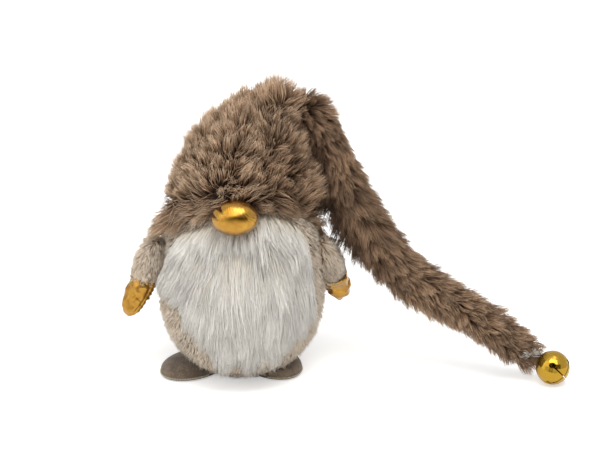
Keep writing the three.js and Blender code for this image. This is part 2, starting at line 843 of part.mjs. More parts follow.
addPiece('body_cover', bodyCover, finishes.beigePlush);
addPiece('base_panel', basePanel, finishes.suedeFelt);
addPiece('weight_bag', weightBag, finishes.cotton);
addPiece('body_stuffing', bodyStuffing, finishes.fibreFill);
addPiece('hat_crown', crownShell, finishes.taupeFur);
addPiece('hat_stuffing', hatStuffing, finishes.fibreFill);
addPiece('hat_tail_upper', tailUpper, finishes.taupeFur);
addPiece('hat_tail_middle', tailMiddle, finishes.taupeFur);
addPiece('hat_tail_lower', tailLower, finishes.taupeFur);
addPiece('hat_tail_tip', tailTip, finishes.taupeFur);
addPiece('nose_cover', noseCover, finishes.goldFoil);
addPiece('nose_stuffing', noseStuffing, finishes.fibreFill);
addPiece('beard', beard, finishes.whiteFur);

for (const [side, arm] of Object.entries(arms)) {
  const pieces = armPieces(arm);
  addPiece(`sleeve_${side}`, pieces.sleeve, finishes.beigePlush);
  addPiece(`mitten_${side}`, pieces.mitten, finishes.goldFoil);
  addPiece(`arm_stuffing_${side}`, pieces.stuffing, finishes.fibreFill);
}

for (const [side, foot] of Object.entries(feet)) {
  const pieces = footPieces(foot);
  addPiece(`foot_upper_${side}`, pieces.upper, finishes.suedeFelt);
  addPiece(`foot_sole_${side}`, pieces.sole, finishes.suedeFelt);
  addPiece(`foot_padding_${side}`, pieces.padding, finishes.fibreFill);
}

const bell = new THREE.Group();
bell.position.copy(bellCentre);
bell.quaternion.setFromRotationMatrix(bellFrame);
gnome.add(bell);
addPiece('bell_shell', bellShell(), finishes.brass, bell);
addPiece('bell_loop', bellLoop(), finishes.brass, bell);
const pelletDrop = bellRadius - bellWall - seam - pelletRadius;
const pelletCentre = vector(bellCentre.x, bellCentre.y, bellCentre.z - pelletDrop);
addPiece('bell_pellet', ball(pelletCentre, pelletRadius, 12), finishes.steel);
addPiece('bell_thread', bellThread(), finishes.cotton);

export default gnome;
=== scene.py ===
# %% [markdown]
# A fur gnome in Blender
#
# The gnome is a stuffed ornament: a round body of beige plush on a weighted base, a beard and a
# long drooping hat of faux fur, a nose and mittens of gold foil cloth, two suede pads for feet
# and a jingle bell. Nearly all of what the eye sees is pile, so most of this lesson is about how
# cloth gets its hair.

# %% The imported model
import math

import bmesh
import bpy
import numpy as np
from mathutils import Matrix, Vector, noise
from mathutils.bvhtree import BVHTree
from mathutils.kdtree import KDTree


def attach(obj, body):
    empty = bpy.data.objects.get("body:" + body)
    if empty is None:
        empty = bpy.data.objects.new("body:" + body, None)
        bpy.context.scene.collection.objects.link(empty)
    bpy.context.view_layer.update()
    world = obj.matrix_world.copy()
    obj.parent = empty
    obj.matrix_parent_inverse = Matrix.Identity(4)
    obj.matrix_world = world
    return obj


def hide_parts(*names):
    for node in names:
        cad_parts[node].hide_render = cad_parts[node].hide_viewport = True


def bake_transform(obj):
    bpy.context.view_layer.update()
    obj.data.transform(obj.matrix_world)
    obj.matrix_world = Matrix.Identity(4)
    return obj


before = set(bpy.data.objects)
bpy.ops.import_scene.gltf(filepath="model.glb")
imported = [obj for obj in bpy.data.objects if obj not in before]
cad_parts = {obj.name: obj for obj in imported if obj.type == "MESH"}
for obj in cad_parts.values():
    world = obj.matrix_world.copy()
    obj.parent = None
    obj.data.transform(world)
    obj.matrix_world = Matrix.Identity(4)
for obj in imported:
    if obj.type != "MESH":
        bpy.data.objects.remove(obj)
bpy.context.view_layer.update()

# %% [markdown]
# All sizes below are millimetres, as a maker would write them, and Blender's are metres, so one
# function turns a place in millimetres to a vector in metres.

# %% Sizes and places
MM = 0.001


def place(x, y, z):
    """A point given in millimetres, as a vector in metres."""
    return Vector((x, y, z)) * MM


def colour(written):
    """An sRGB colour such as #8a705c as the linear numbers that Blender's shaders take."""
    values = [int(written[i:i + 2], 16) / 255 for i in (1, 3, 5)]
    linear = [v / 12.92 if v <= 0.04045 else ((v + 0.055) / 1.055) ** 2.4 for v in values]
    return (*linear, 1.0)


def ease(value):
    """A smooth step from 0 to 1, for one number or a whole array."""
    share = np.clip(value, 0.0, 1.0)
    return share * share * (3 - 2 * share)


def rise(value, start, width):
    """A smooth step from 0 where it starts to 1 where its width ends."""
    return ease((value - start) / width)


def fall(value, start, width):
    """A smooth step from 1 where it starts to 0 where its width ends."""
    return 1 - rise(value, start, width)


def ridge(value, at, width):
    """1 at a place, and smoothly less on both sides of it."""
    return math.exp(-((value - at) / width) ** 2)


def read_off(at, known, rows):
    """What the rows hold at a place between the known places, column by column."""
    return np.array([np.interp(at, known, rows[:, i]) for i in range(rows.shape[1])])


# %% [markdown]
# The photograph looks down on the gnome by about 20 degrees, from straight in front. A long lens
# at 2.1 m keeps the perspective as weak as it is there. The picture is 600 by 450 pixels, and one
# of them is 0.58 mm at the gnome.

# %% Camera
CAMERA_DISTANCE = 2100
CAMERA_RISE = math.radians(20)
AIM = place(33.9, 0, 87.6)
camera = bpy.data.objects.new("camera", bpy.data.cameras.new("camera"))
camera.data.sensor_width = 36
camera.data.lens = 217.2
back = Vector((0, -math.cos(CAMERA_RISE), math.sin(CAMERA_RISE)))
camera.location = AIM + back * CAMERA_DISTANCE * MM
camera.rotation_mode = "QUATERNION"
camera.rotation_quaternion = (-back).to_track_quat("-Z", "Y")
bpy.context.collection.objects.link(camera)
bpy.context.scene.camera = camera
bpy.context.scene.view_settings.view_transform = "Standard"

# %% [markdown]
# A material is a small tree of nodes. One function adds a node: it takes the node's own settings
# by name, and its inputs either as a number or as another node's output, which it links.

# %% Adding a node


def add(tree, kind, inputs=None, **settings):
    """One node in the tree, with its settings, and its inputs set or linked."""
    node = tree.nodes.new(kind)
    for name, value in settings.items():
        setattr(node, name, value)
    for name, value in (inputs or {}).items():
        socket = node.inputs[name]
        if isinstance(value, bpy.types.NodeSocket):
            tree.links.new(value, socket)
        else:
            socket.default_value = value
    return node


def new_material(name):
    """An empty material and its tree."""
    material = bpy.data.materials.new(name)
    material.use_nodes = True
    material.node_tree.nodes.clear()
    return material, material.node_tree


def finish_material(material, inputs, kind="ShaderNodeBsdfPrincipled"):
    """The material with its last shader, which goes to the output."""
    shader = add(material.node_tree, kind, inputs)
    add(material.node_tree, "ShaderNodeOutputMaterial", {"Surface": shader.outputs[0]})
    return material


def ramp(tree, factor, stops):
    """A colour ramp over a factor, from pairs of position and written colour."""
    node = add(tree, "ShaderNodeValToRGB", {0: factor})
    band = node.color_ramp
    while len(band.elements) < len(stops):
        band.elements.new(1.0)
    for element, (position, written) in zip(band.elements, stops):
        element.position = position
        element.color = colour(written)
    return node.outputs["Color"]


# %% [markdown]
# A form is worked as a bmesh, and one function makes it an object at the origin. Each piece is hung
# under an empty named for the body it rides on, and the CAD node that it stands for is hidden.

# %% Objects


def finish_mesh(bm, name, material, smooth=True):
    """The bmesh as an object at the origin, with its material."""
    mesh = bpy.data.meshes.new(name)
    for face in bm.faces:
        face.smooth = smooth
    bm.to_mesh(mesh)
    bm.free()
    piece = bpy.data.objects.new(name, mesh)
    bpy.context.collection.objects.link(piece)
    mesh.materials.append(material)
    return piece


def set_points(mesh, points):
    """Moves all points of a mesh."""
    mesh.vertices.foreach_set("co", np.array(points, np.float32).ravel())
    mesh.update()


def belong(body, slot, *pieces):
    """The pieces ride on a body; slot is not used."""
    for piece in pieces:
        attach(piece, body)


def stuffed_for(node):
    """Hides a CAD node, which a stuffed form stands in for."""
    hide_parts(node)


# %% [markdown]
# The studio is a white floor under a white sky. The sky lights from all sides and a large soft
# lamp high above and a little to the right gives the forms their shade. To the camera, and
# in reflections, floor and sky are plain white, and only the shadow shows on the floor.

# %% Studio
SKY_LIGHT = 0.62
FLOOR_GLOW = 0.42
WHITE = (1.0, 1.0, 1.0, 1.0)


def seen_rays(tree):
    """1 for a ray that the camera or a reflection follows, and 0 for one that only lights."""
    rays = add(tree, "ShaderNodeLightPath")
    seen = rays.outputs["Is Camera Ray"]
    for kind in ("Is Glossy Ray", "Is Transmission Ray"):
        seen = add(tree, "ShaderNodeMath", {0: seen, 1: rays.outputs[kind]}, operation="MAXIMUM").outputs[0]
    return seen


world = bpy.data.worlds.new("white studio")
world.use_nodes = True
sky = world.node_tree
sky.nodes.clear()
strength = add(sky, "ShaderNodeMapRange", {"Value": seen_rays(sky), "To Min": SKY_LIGHT, "To Max": 1.0})
backdrop = add(sky, "ShaderNodeBackground", {"Color": WHITE, "Strength": strength.outputs[0]})
add(sky, "ShaderNodeOutputWorld", {"Surface": backdrop.outputs[0]})
bpy.context.scene.world = world


def soft_lamp(name, at, size, watts):
    """A square area lamp that looks at the middle of the gnome."""
    light = bpy.data.lights.new(name, "AREA")
    light.shape = "SQUARE"
    light.size = size
    light.energy = watts
    lamp = bpy.data.objects.new(name, light)
    lamp.location = at
    lamp.rotation_mode = "QUATERNION"
    lamp.rotation_quaternion = (place(30, 0, 80) - at).to_track_quat("-Z", "Y")
    bpy.context.collection.objects.link(lamp)


soft_lamp("key_lamp", place(160, -380, 900), 0.7, 7.4)
soft_lamp("fill_lamp", place(-600, -600, 500), 0.8, 3.0)

# A brown card behind the camera, as a dim room is. Metal mirrors it, and so has dark parts
board = new_material("brown_board")[0]
finish_material(board, {"Color": colour("#4a3a2c")}, "ShaderNodeBsdfDiffuse")
card_bm = bmesh.new()
bmesh.ops.create_grid(card_bm, x_segments=1, y_segments=1, size=1.0,
                      matrix=Matrix.Translation((0, -2.5, 1.1)) @ Matrix.Rotation(math.radians(90), 4, "X")
                      @ Matrix.Diagonal((3.7, 1.03, 1, 1)))
card = finish_mesh(card_bm, "room_card", board, smooth=False)
card.visible_camera = False
card.visible_diffuse = False
card.visible_shadow = False

# Matt white paper. The glow is for the camera and reflections alone, so it lights nothing
paper, tree = new_material("matt_white_paper")
glow_strength = add(tree, "ShaderNodeMath", {0: seen_rays(tree), 1: FLOOR_GLOW}, operation="MULTIPLY")
matt = add(tree, "ShaderNodeBsdfDiffuse", {"Color": colour("#f4f3f1")})
glow = add(tree, "ShaderNodeEmission", {"Color": WHITE, "Strength": glow_strength.outputs[0]})
finish_material(paper, {0: matt.outputs[0], 1: glow.outputs[0]}, "ShaderNodeAddShader")
floor_bm = bmesh.new()
bmesh.ops.create_grid(floor_bm, x_segments=1, y_segments=1, size=6.0,
                      matrix=Matrix.Translation(place(0, 0, -0.5)))
floor = finish_mesh(floor_bm, "floor", paper, smooth=False)
print("studio: floor, sky and two lamps")

# %% [markdown]
# Every form here is cloth over stuffing, so every form is made the way it is sewn: a flat grid is
# the cut piece, each of its points is moved to its place on the form, and the edges that meet are
# joined. The flat place of each corner stays behind as a UV map named cloth.

# %% Cloth forms


def sewn(name, columns, rows, shape, material):
    """A cut piece of columns by rows, moved to shape(u, v) and joined where it meets itself."""
    bm = bmesh.new()
    bmesh.ops.create_grid(bm, x_segments=columns, y_segments=rows, size=0.5)
    flat = bm.loops.layers.uv.new("cloth")
    for face in bm.faces:
        for loop in face.loops:
            loop[flat].uv = loop.vert.co.xy + Vector((0.5, 0.5))
    for vertex in bm.verts:
        vertex.co = shape(vertex.co.x + 0.5, vertex.co.y + 0.5)
    bmesh.ops.remove_doubles(bm, verts=bm.verts, dist=2e-6)
    bmesh.ops.recalc_face_normals(bm, faces=bm.faces)
    return finish_mesh(bm, name, material)


def apply_modifiers(piece):
    """Puts what the modifiers make into the mesh itself."""
    bpy.context.view_layer.update()
    graph = bpy.context.evaluated_depsgraph_get()
    made = bpy.data.meshes.new_from_object(piece.evaluated_get(graph))
    piece.modifiers.clear()
    piece.data = made


def thicken(piece, thickness_mm):
    """Gives a skin its inner side, so that it is a closed piece of cloth."""
    wall = piece.modifiers.new("cloth", "SOLIDIFY")
    wall.thickness = thickness_mm * MM
    wall.offset = -1
    apply_modifiers(piece)


def form_guard(*pieces, gap):
    """A function that moves points out of the given forms, to at least gap metres off them."""
    trees = []
    for piece in pieces:
        bm = bmesh.new()
        bm.from_mesh(piece.data)
        trees.append(BVHTree.FromBMesh(bm))
        bm.free()

    def keep_out(points):
        kept = points.copy()
        for tree in trees:
            for index, point in enumerate(kept):
                near, normal, _, _ = tree.find_nearest(Vector(point), 0.02)
                if near is None:
                    continue
                height = (Vector(point) - near).dot(normal)
                if height < gap:
                    kept[index] = point + np.array(normal) * (gap - height)
        return kept

    return keep_out


# %% [markdown]
# Fur could be Blender's own hair, but only meshes leave Blender with the part, so each hair here
# is a closed three-sided spike. Real pile has far more hairs than a mesh can hold. The eye
# doesn't count them: it sees that hairs lean one way, gather to tufts at their tips, wave a
# little together and are dark between the tufts. So the recipe is: scatter roots on the cloth,
# let each hair start between upright and the way it is combed, bend it as it gets longer, slide
# it over what is in its way, and draw the hairs of a tuft together.

# %% Roots


def unit(vectors):
    """The vectors, each made 1 long."""
    return vectors / np.maximum(np.linalg.norm(vectors, axis=-1, keepdims=True), 1e-12)


def tangent(directions, upright):
    """The part of each direction that lies in the surface."""
    return unit(directions - upright * np.sum(directions * upright, axis=1, keepdims=True))


def mesh_values(items, name, size):
    """One property of all points or faces, as an array with a row for each."""
    values = np.empty(len(items) * size)
    items.foreach_get(name, values)
    return values.reshape(-1, size)


def scatter(skin, per_square_mm, seed, keep=None):
    """Roots spread over a skin, so many to the square millimetre, and the skin's normal at each."""
    mesh = skin.data
    mesh.calc_loop_triangles()
    corners = mesh_values(mesh.loop_triangles, "vertices", 3).astype(int)
    points = mesh_values(mesh.vertices, "co", 3)
    normals = mesh_values(mesh.vertices, "normal", 3)
    a, b, c = (points[corners[:, i]] for i in range(3))
    area = np.linalg.norm(np.cross(b - a, c - a), axis=1) / 2
    count = int(area.sum() / MM ** 2 * per_square_mm)
    chance = np.random.default_rng(seed)
    chosen = corners[chance.choice(len(area), count, p=area / area.sum())]
    first = np.sqrt(chance.random(count))
    second = chance.random(count)
    weights = np.stack([1 - first, first * (1 - second), first * second], axis=1)
    roots = np.einsum("ij,ijk->ik", weights, points[chosen])
    upright = unit(np.einsum("ij,ijk->ik", weights, normals[chosen]))
    if keep is not None:
        wanted = keep(roots, upright)
        roots, upright = roots[wanted], upright[wanted]
    return roots, upright


# Without a seed, noise_vector starts from the clock and gives other curls in each run
NOISE_SEED = 3
noise.seed_set(NOISE_SEED)


def swirl(points, size, seed):
    """A smooth random vector for each point, that changes over about so many metres."""
    shift = Vector((7.1, 3.3, 5.7)) * seed
    return np.array([noise.noise_vector(Vector(p) / size + shift) for p in points])


# %% Hair lines
# No hair goes through the floor
LOWEST_HAIR = 0.4 * MM


def tufts(roots, hairs_per_tuft, chance):
    """For each root, the number of the hair that leads its tuft."""
    leaders = chance.choice(len(roots), max(1, len(roots) // hairs_per_tuft), replace=False)
    tree = KDTree(len(leaders))
    for number, leader in enumerate(leaders):
        tree.insert(roots[leader], number)
    tree.balance()
    return leaders[[tree.find(root)[1] for root in roots]]


def hair_lines(roots, upright, comb, length, lift, seed, levels=4, droop=0.0, follow=0.0,
               scatter_by=0.12, wave=0.0, wavelength=14.0, gather=((90, 0.35), (14, 0.7)),
               guard=None, spread=0.16):
    """The middle line of each hair, as points from root to tip, and the tone of its tuft.

    comb is a direction for each root, lift how upright the hair starts, from 0 to 1, follow how
    much it turns to the comb on its way, and droop how much it sinks. scatter_by is how much the
    starts differ and spread how much the lengths do. Lengths, waves and wavelengths are in
    millimetres. gather has pairs of hairs in a tuft and how far their tips are drawn together,
    and guard moves points out of what is in the way.
    """
    chance = np.random.default_rng(seed)
    count = len(roots)
    lengths = length * MM * np.clip(chance.normal(1.0, spread, count), 0.5, 1.5)
    start = unit(upright * lift + comb * (1 - lift) + chance.normal(0, scatter_by, (count, 3)))
    sideways = unit(np.cross(start, upright) + 1e-6)
    lines = np.empty((count, levels + 1, 3))
    lines[:, 0] = roots
    for level in range(1, levels + 1):
        share = level / levels
        way = unit(start + follow * share * comb + np.array([0, 0, -droop * share]))
        lines[:, level] = lines[:, level - 1] + way * (lengths / levels)[:, None]
    tone = np.full(count, 0.5)
    phase = chance.random(count) * 2 * math.pi
    for hairs, pull in gather:
        leader = tufts(roots, hairs, chance)
        before = lines.copy()
        for level in range(1, levels + 1):
            share = level / levels
            lines[:, level] += (before[leader, level] - before[:, level]) * pull * share ** 1.2
        tone += (chance.random(count)[leader] - 0.5) * 0.5
        phase = phase[leader] + chance.normal(0, 0.5, count)
    for level in range(1, levels + 1):
        share = level / levels
        turn = phase + 2 * math.pi * share * lengths / (wavelength * MM)
        lines[:, level] += sideways * (np.sin(turn) * wave * MM * share)[:, None]
        if guard is not None:
            lines[:, level] = guard(lines[:, level])
    tone += chance.normal(0, 0.12, count)
    return lines, np.clip(tone, 0, 1)


# %% Hair meshes
CORNERS = 3


def hair_mesh(name, lines, tone, width, material, shown=1.0):
    """One closed, tapered, three-sided spike along each line, all in one piece.

    shown is how far each hair gets through the colours from root to tip.
    """
    count, rings = lines.shape[:2]
    levels = rings - 1
    bm = bmesh.new()
    bmesh.ops.create_circle(bm, cap_ends=True, segments=CORNERS, radius=1.0)
    bmesh.ops.reverse_faces(bm, faces=bm.faces)
    edge = list(bm.edges)
    for level in range(1, rings):
        grown = bmesh.ops.extrude_edge_only(bm, edges=edge)["geom"]
        top = [item for item in grown if isinstance(item, bmesh.types.BMVert)]
        edge = [item for item in grown if isinstance(item, bmesh.types.BMEdge)]
        for vertex in top:
            vertex.co.z = level
    bmesh.ops.pointmerge(bm, verts=top, merge_co=(0, 0, levels))
    bmesh.ops.recalc_face_normals(bm, faces=bm.faces)
    spike = np.array([vertex.co for vertex in bm.verts])
    piece = finish_mesh(bm, name, material)
    copies = piece.modifiers.new("hairs", "ARRAY")
    copies.count = count
    copies.use_relative_offset = False
    copies.use_constant_offset = True
    copies.constant_offset_displace = (0, 0, 0)
    apply_modifiers(piece)

    chance = np.random.default_rng(count)
    travel = unit(np.gradient(lines, axis=1))
    ahead = chance.normal(0, 1, (count, 1, 3))
    side = unit(np.cross(travel, ahead))
    over = np.cross(travel, side)
    radius = width * MM / 2 * (1 - (np.arange(rings) / levels) ** 2.2)
    radius = radius * chance.uniform(0.75, 1.25, count)[:, None]
    level_of = np.rint(spike[:, 2]).astype(int)
    turn = np.arctan2(spike[:, 1], spike[:, 0])
    reach = radius[:, level_of][..., None]
    points = lines[:, level_of] + reach * (
        side[:, level_of] * np.cos(turn)[:, None] + over[:, level_of] * np.sin(turn)[:, None])
    mesh = piece.data
    set_points(mesh, points)
    along = mesh.attributes.new("along", "FLOAT", "POINT")
    share = (level_of / levels)[None, :] * np.broadcast_to(shown, count)[:, None]
    along.data.foreach_set("value", share.astype(np.float32).ravel())
    toned = mesh.attributes.new("tone", "FLOAT", "POINT")
    toned.data.foreach_set("value", np.repeat(tone, len(spike)).astype(np.float32))
    triangles = sum(len(face.vertices) - 2 for face in mesh.polygons)
    print(f"{name}: {count} hairs, {triangles} triangles")
    return piece


def hair_meshes(name, parts, part_of, lines, tone, width, material, shown=1.0):
    """One pile in several pieces, by the number of the part that each hair is in."""
    shown = np.broadcast_to(shown, len(lines))
    return [hair_mesh(f"{name}_{part}", lines[part_of == number], tone[part_of == number],
                      width, material, shown[part_of == number])
            for number, part in enumerate(parts)]


# %% [markdown]
# Dyed acrylic pile is dark at the root, because little light gets there, and its tips are
# bleached lighter. Each hair knows how far along it a point is and how light its tuft is, as two
# attributes, and the colour follows both.

# %% Pile material


def pile(name, stops, contrast=0.3, roughness=0.6, gloss=0.25, patches=0.12):
    """Acrylic pile: colour from root to tip, lighter and darker by tuft and by patch."""
    material, tree = new_material(name)
    along = add(tree, "ShaderNodeAttribute", attribute_name="along")
    tone = add(tree, "ShaderNodeAttribute", attribute_name="tone")
    where = add(tree, "ShaderNodeTexCoord")
    # Patches about 9 mm across
    patch = add(tree, "ShaderNodeTexNoise",
                {"Vector": where.outputs["Object"], "Scale": 110.0, "Detail": 2.0})
    by_tuft = add(tree, "ShaderNodeMapRange",
                  {"Value": tone.outputs["Fac"], "To Min": 1 - contrast, "To Max": 1 + contrast})
    by_patch = add(tree, "ShaderNodeMapRange",
                   {"Value": patch.outputs["Fac"], "From Min": 0.3, "From Max": 0.7,
                    "To Min": 1 - patches, "To Max": 1 + patches})
    value = add(tree, "ShaderNodeMath",
                {0: by_tuft.outputs[0], 1: by_patch.outputs[0]}, operation="MULTIPLY")
    tinted = add(tree, "ShaderNodeHueSaturation",
                 {"Color": ramp(tree, along.outputs["Fac"], stops), "Value": value.outputs[0]})
    return finish_material(
        material, {"Base Color": tinted.outputs[0], "Roughness": roughness, "Specular IOR Level": gloss})


taupe_pile = pile("taupe_acrylic_fur",
                  [(0.0, "#34261b"), (0.3, "#6c533e"), (0.65, "#ae9074"), (1.0, "#e0c7aa")])
# The tail's pile is a darker copy of the taupe pile, with more contrast, as painted shade on the tail
tail_shaded_pile = pile("taupe_acrylic_fur_painted_shade",
                 [(0.0, "#2b2018"), (0.35, "#614936"), (0.7, "#9d7f64"), (1.0, "#d0b395")],
                 contrast=0.4, patches=0.2)
white_pile = pile("white_acrylic_fur",
                  [(0.0, "#b5a793"), (0.2, "#cdc5b8"), (0.6, "#dfdcd6"), (1.0, "#efece6")],
                  contrast=0.15, roughness=0.5, patches=0.04)
beige_pile = pile("beige_plush",
                  [(0.0, "#b39c84"), (0.4, "#d8c6b0"), (1.0, "#f2e7d8")], contrast=0.16, patches=0.07)

# %% [markdown]
# Under the pile is its knitted backing, dyed with it and painted darker, as painted shade between the
# hairs. The foil cloth of the nose and the mittens is a woven cloth with a gold film pressed on to
# it: a metal whose gloss is broken up by the threads below. The feet are brushed suede cloth, whose
# nap lies in lighter and darker strokes. The bell is steel, plated and polished.

# %% Cloths and metals


def object_noise(tree, across_mm, detail=3.0):
    """Noise whose lumps are about so many millimetres across, as a factor."""
    where = add(tree, "ShaderNodeTexCoord")
    lumps = add(tree, "ShaderNodeTexNoise",
                {"Vector": where.outputs["Object"], "Scale": 1 / (across_mm * MM), "Detail": detail})
    return lumps.outputs["Fac"]


def bumped(tree, height, depth_mm):
    """A bump from a factor, whose full height is so many millimetres."""
    bump = add(tree, "ShaderNodeBump", {"Strength": 1.0, "Distance": depth_mm * MM, "Height": height})
    return bump.outputs["Normal"]


def matt_cloth(name, dark, light, lumps, relief, depth_mm, **settings):
    """Cloth or fibre whose colour follows lumps, and its relief others, each by size and detail."""
    material, tree = new_material(name)
    shade = ramp(tree, object_noise(tree, *lumps), [(0.3, dark), (0.7, light)])
    bumps = bumped(tree, object_noise(tree, *relief), depth_mm)
    return finish_material(material, {"Base Color": shade, "Roughness": 0.95, "Normal": bumps, **settings})


def backing(name, dark, light):
    """Circular-knit polyester backing: matt, with loops about 0.8 mm across."""
    return matt_cloth(name, dark, light, (4.0, 3.0), (0.8, 1.0), 0.4, **{"Specular IOR Level": 0.1})


def twill(tree, thread_mm, direction):
    """Diagonal ribs of a woven cloth, so many millimetres apart, as a factor."""
    where = add(tree, "ShaderNodeTexCoord")
    turned = add(tree, "ShaderNodeMapping", {"Vector": where.outputs["Object"], "Rotation": direction})
    # A wave of scale 1 repeats every 0.314 m
    ribs = add(tree, "ShaderNodeTexWave",
               {"Vector": turned.outputs[0], "Scale": 0.314 / (thread_mm * MM), "Distortion": 1.5,
                "Detail": 1.0, "Detail Scale": 0.4}, wave_type="BANDS")
    return ribs.outputs["Fac"]


def foil_cloth(name, crinkled):
    """Gold foil on woven cloth: metallic, satin, with 1 mm ribs and so many millimetres deep crinkles."""
    material, tree = new_material(name)
    shade = ramp(tree, object_noise(tree, 3.0), [(0.3, "#98690d"), (0.55, "#a47713"), (0.8, "#b38920")])
    worn = add(tree, "ShaderNodeMapRange", {"Value": object_noise(tree, 1.6), "To Min": 0.2, "To Max": 0.3})
    crinkles = bumped(tree, object_noise(tree, 6.0, 1.0), crinkled)
    ribs = add(tree, "ShaderNodeBump",
               {"Strength": 0.5, "Distance": 0.12 * MM, "Height": twill(tree, 1.0, (0.0, 0.75, 0.3)),
                "Normal": crinkles})
    return finish_material(
        material, {"Base Color": shade, "Metallic": 1.0, "Roughness": worn.outputs[0],
                   "Coat Weight": 0.7, "Coat Roughness": 0.25, "Normal": ribs.outputs[0]})


def suede(name):
    """Brushed polyester suede: taupe, with nap strokes some 7 mm wide and a 0.5 mm grain."""
    material, tree = new_material(name)
    nap = add(tree, "ShaderNodeMath",
              {0: object_noise(tree, 7.0, 2.0), 1: object_noise(tree, 0.9, 4.0)}, operation="ADD")
    shade = ramp(tree, nap.outputs[0], [(0.75, "#5d5044"), (1.0, "#6d5e50"), (1.25, "#7c6d5c")])
    grain = bumped(tree, object_noise(tree, 0.5, 2.0), 0.15)
    return finish_material(
        material, {"Base Color": shade, "Roughness": 0.9, "Specular IOR Level": 0.2,
                   "Sheen Weight": 0.25, "Sheen Roughness": 0.5, "Normal": grain})


def polished(name, written, roughness):
    """Plated and tumbled metal: bright, with faint 0.6 mm dulled specks."""
    material, tree = new_material(name)
    dulled = add(tree, "ShaderNodeMapRange",
                 {"Value": object_noise(tree, 0.6), "To Min": roughness * 0.6, "To Max": roughness * 1.5})
    waves = bumped(tree, object_noise(tree, 5.0, 1.0), 0.12)
    return finish_material(
        material, {"Base Color": colour(written), "Metallic": 1.0, "Roughness": dulled.outputs[0],
                   "Normal": waves})


def fibre(name, dark, light):
    """Loose white fibre or spun thread: matt and soft, with 1 mm clumps."""
    return matt_cloth(name, dark, light, (1.0, 4.0), (0.7, 3.0), 0.5, **{"Sheen Weight": 0.3})


# Each backing is darker than its pile, as painted shade that shows between the hairs
taupe_backing = backing("taupe_knit_backing", "#2c211a", "#43342a")
beige_backing = backing("beige_knit_backing", "#8d7862", "#a8937c")
white_backing = backing("white_knit_backing", "#b4ab9d", "#cbc5ba")
gold_foil = foil_cloth("gold_foil_cloth_stuffed_tight", 0.22)
crinkled_foil = foil_cloth("gold_foil_cloth_crinkled", 1.3)
taupe_suede = suede("brushed_taupe_suede")
gold_plating = polished("gold_plated_steel", "#a7842e", 0.26)
bright_steel = polished("bright_steel", "#c9c7c2", 0.25)
white_thread = fibre("white_cotton_thread", "#cfc8bb", "#efebe2")
fibre_fill = fibre("polyester_fibre_fill", "#c4c0b8", "#e9e7e2")
pellet_cotton = fibre("unbleached_cotton", "#a89a80", "#cbbfa6")

# %% [markdown]
# The body is a ball of a belly under a narrower round head, with a flat base that the base panel
# closes. The skin lies as deep under the outline as the plush is thick, and its pile grows back
# out to the outline.

# %% Body
BELLY_RADIUS = 48
BELLY_HEIGHT = 44
HEAD_TOP = 135
HEAD_ROUNDNESS = 2.2
PLUSH_DEPTH = 2.4
BASE_OPENING = 17


def body_radius(height, inset=0.0):
    """The body's radius at a height, in millimetres, so far inside its outline."""
    rise = height - BELLY_HEIGHT
    radius = BELLY_RADIUS - inset
    if rise <= 0:
        return math.sqrt(max(radius ** 2 - rise ** 2, 0))
    share = min(rise / (HEAD_TOP - BELLY_HEIGHT - inset), 1)
    return radius * (1 - share ** HEAD_ROUNDNESS) ** (1 / HEAD_ROUNDNESS)


def body_profile(inset):
    """Radius and height from the base's opening, round its hem and up to the neck."""
    hem = [(BASE_OPENING, 0.5), (BASE_OPENING + 1.1, 0.9), (BASE_OPENING + 1.7, 1.7)]
    heights = [*np.linspace(2.6, 30, 14), *np.linspace(33, 128, 34)]
    return np.array(hem + [(body_radius(z, inset), z) for z in heights])


def turned_form(profile, lumps):
    """A shape for sewn(): the profile turned about Z, with soft lumps so many millimetres deep."""
    steps = np.arange(len(profile)) / (len(profile) - 1)

    def shape(u, v):
        radius, height = read_off(v, steps, profile)
        angle = 2 * math.pi * u
        point = Vector((radius * math.cos(angle), radius * math.sin(angle), height))
        grow = 1 + lumps * noise.noise(point / 22) / BELLY_RADIUS * min(height / 20, 1)
        return Vector((point.x * grow, point.y * grow, point.z)) * MM

    return shape


DOWN = np.array([0.0, 0.0, -1.0])
body_skin = sewn("body_cover_backing", 96, 50, turned_form(body_profile(PLUSH_DEPTH), 1.2), beige_backing)


def brim_height(points):
    """The height of the brim's edge over points, in millimetres: high in front, low behind.

    Right of the nose it is folded up by 3 mm.
    """
    across, ahead = (np.asarray(points)[..., i] / MM * way for i, way in ((0, 1), (1, -1)))
    folded = 3 * rise(across, 8, 14) * ease(ahead / 16)
    return 83 + 0.371 * ahead + 0.00425 * ahead ** 2 + folded


def below_hat(points, upright):
    """Which roots of the body's plush can be seen: those up to 9 mm above the brim's edge."""
    return points[:, 2] / MM < brim_height(points) + 9


roots, upright = scatter(body_skin, 1.2, 11, below_hat)
comb = tangent(DOWN + 0.5 * swirl(roots, 0.02, 1), upright)
lines, tone = hair_lines(roots, upright, comb, length=4.6, lift=0.5, seed=12, levels=2,
                         scatter_by=0.2, gather=((40, 0.15), (6, 0.25)), spread=0.2)
lines[..., 2] = np.maximum(lines[..., 2], LOWEST_HAIR)
body_plush = hair_meshes("body_plush", ("left", "right"), roots[:, 0] >= 0, lines, tone, 0.55, beige_pile)
thicken(body_skin, 0.9)
stuffed_for("body_cover")
belong("gnome", "beige_plush", body_skin, *body_plush)

# %% [markdown]
# The base panel is a round of the same suede as the feet, sewn into the opening. It is a flat
# disc of cloth, cut 33 mm across.

# %% Base panel
PANEL_RADIUS = 16.7
panel_bm = bmesh.new()
bmesh.ops.create_circle(panel_bm, cap_ends=True, segments=64, radius=PANEL_RADIUS * MM)
bmesh.ops.inset_region(panel_bm, faces=panel_bm.faces, thickness=1.5 * MM, depth=0)
bmesh.ops.translate(panel_bm, verts=panel_bm.verts, vec=place(0, 0, 1.3))
bmesh.ops.recalc_face_normals(panel_bm, faces=panel_bm.faces)
panel = finish_mesh(panel_bm, "base_panel_cloth", taupe_suede, smooth=False)
thicken(panel, 1.0)
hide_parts("base_panel")
belong("gnome", "suede_felt", panel)

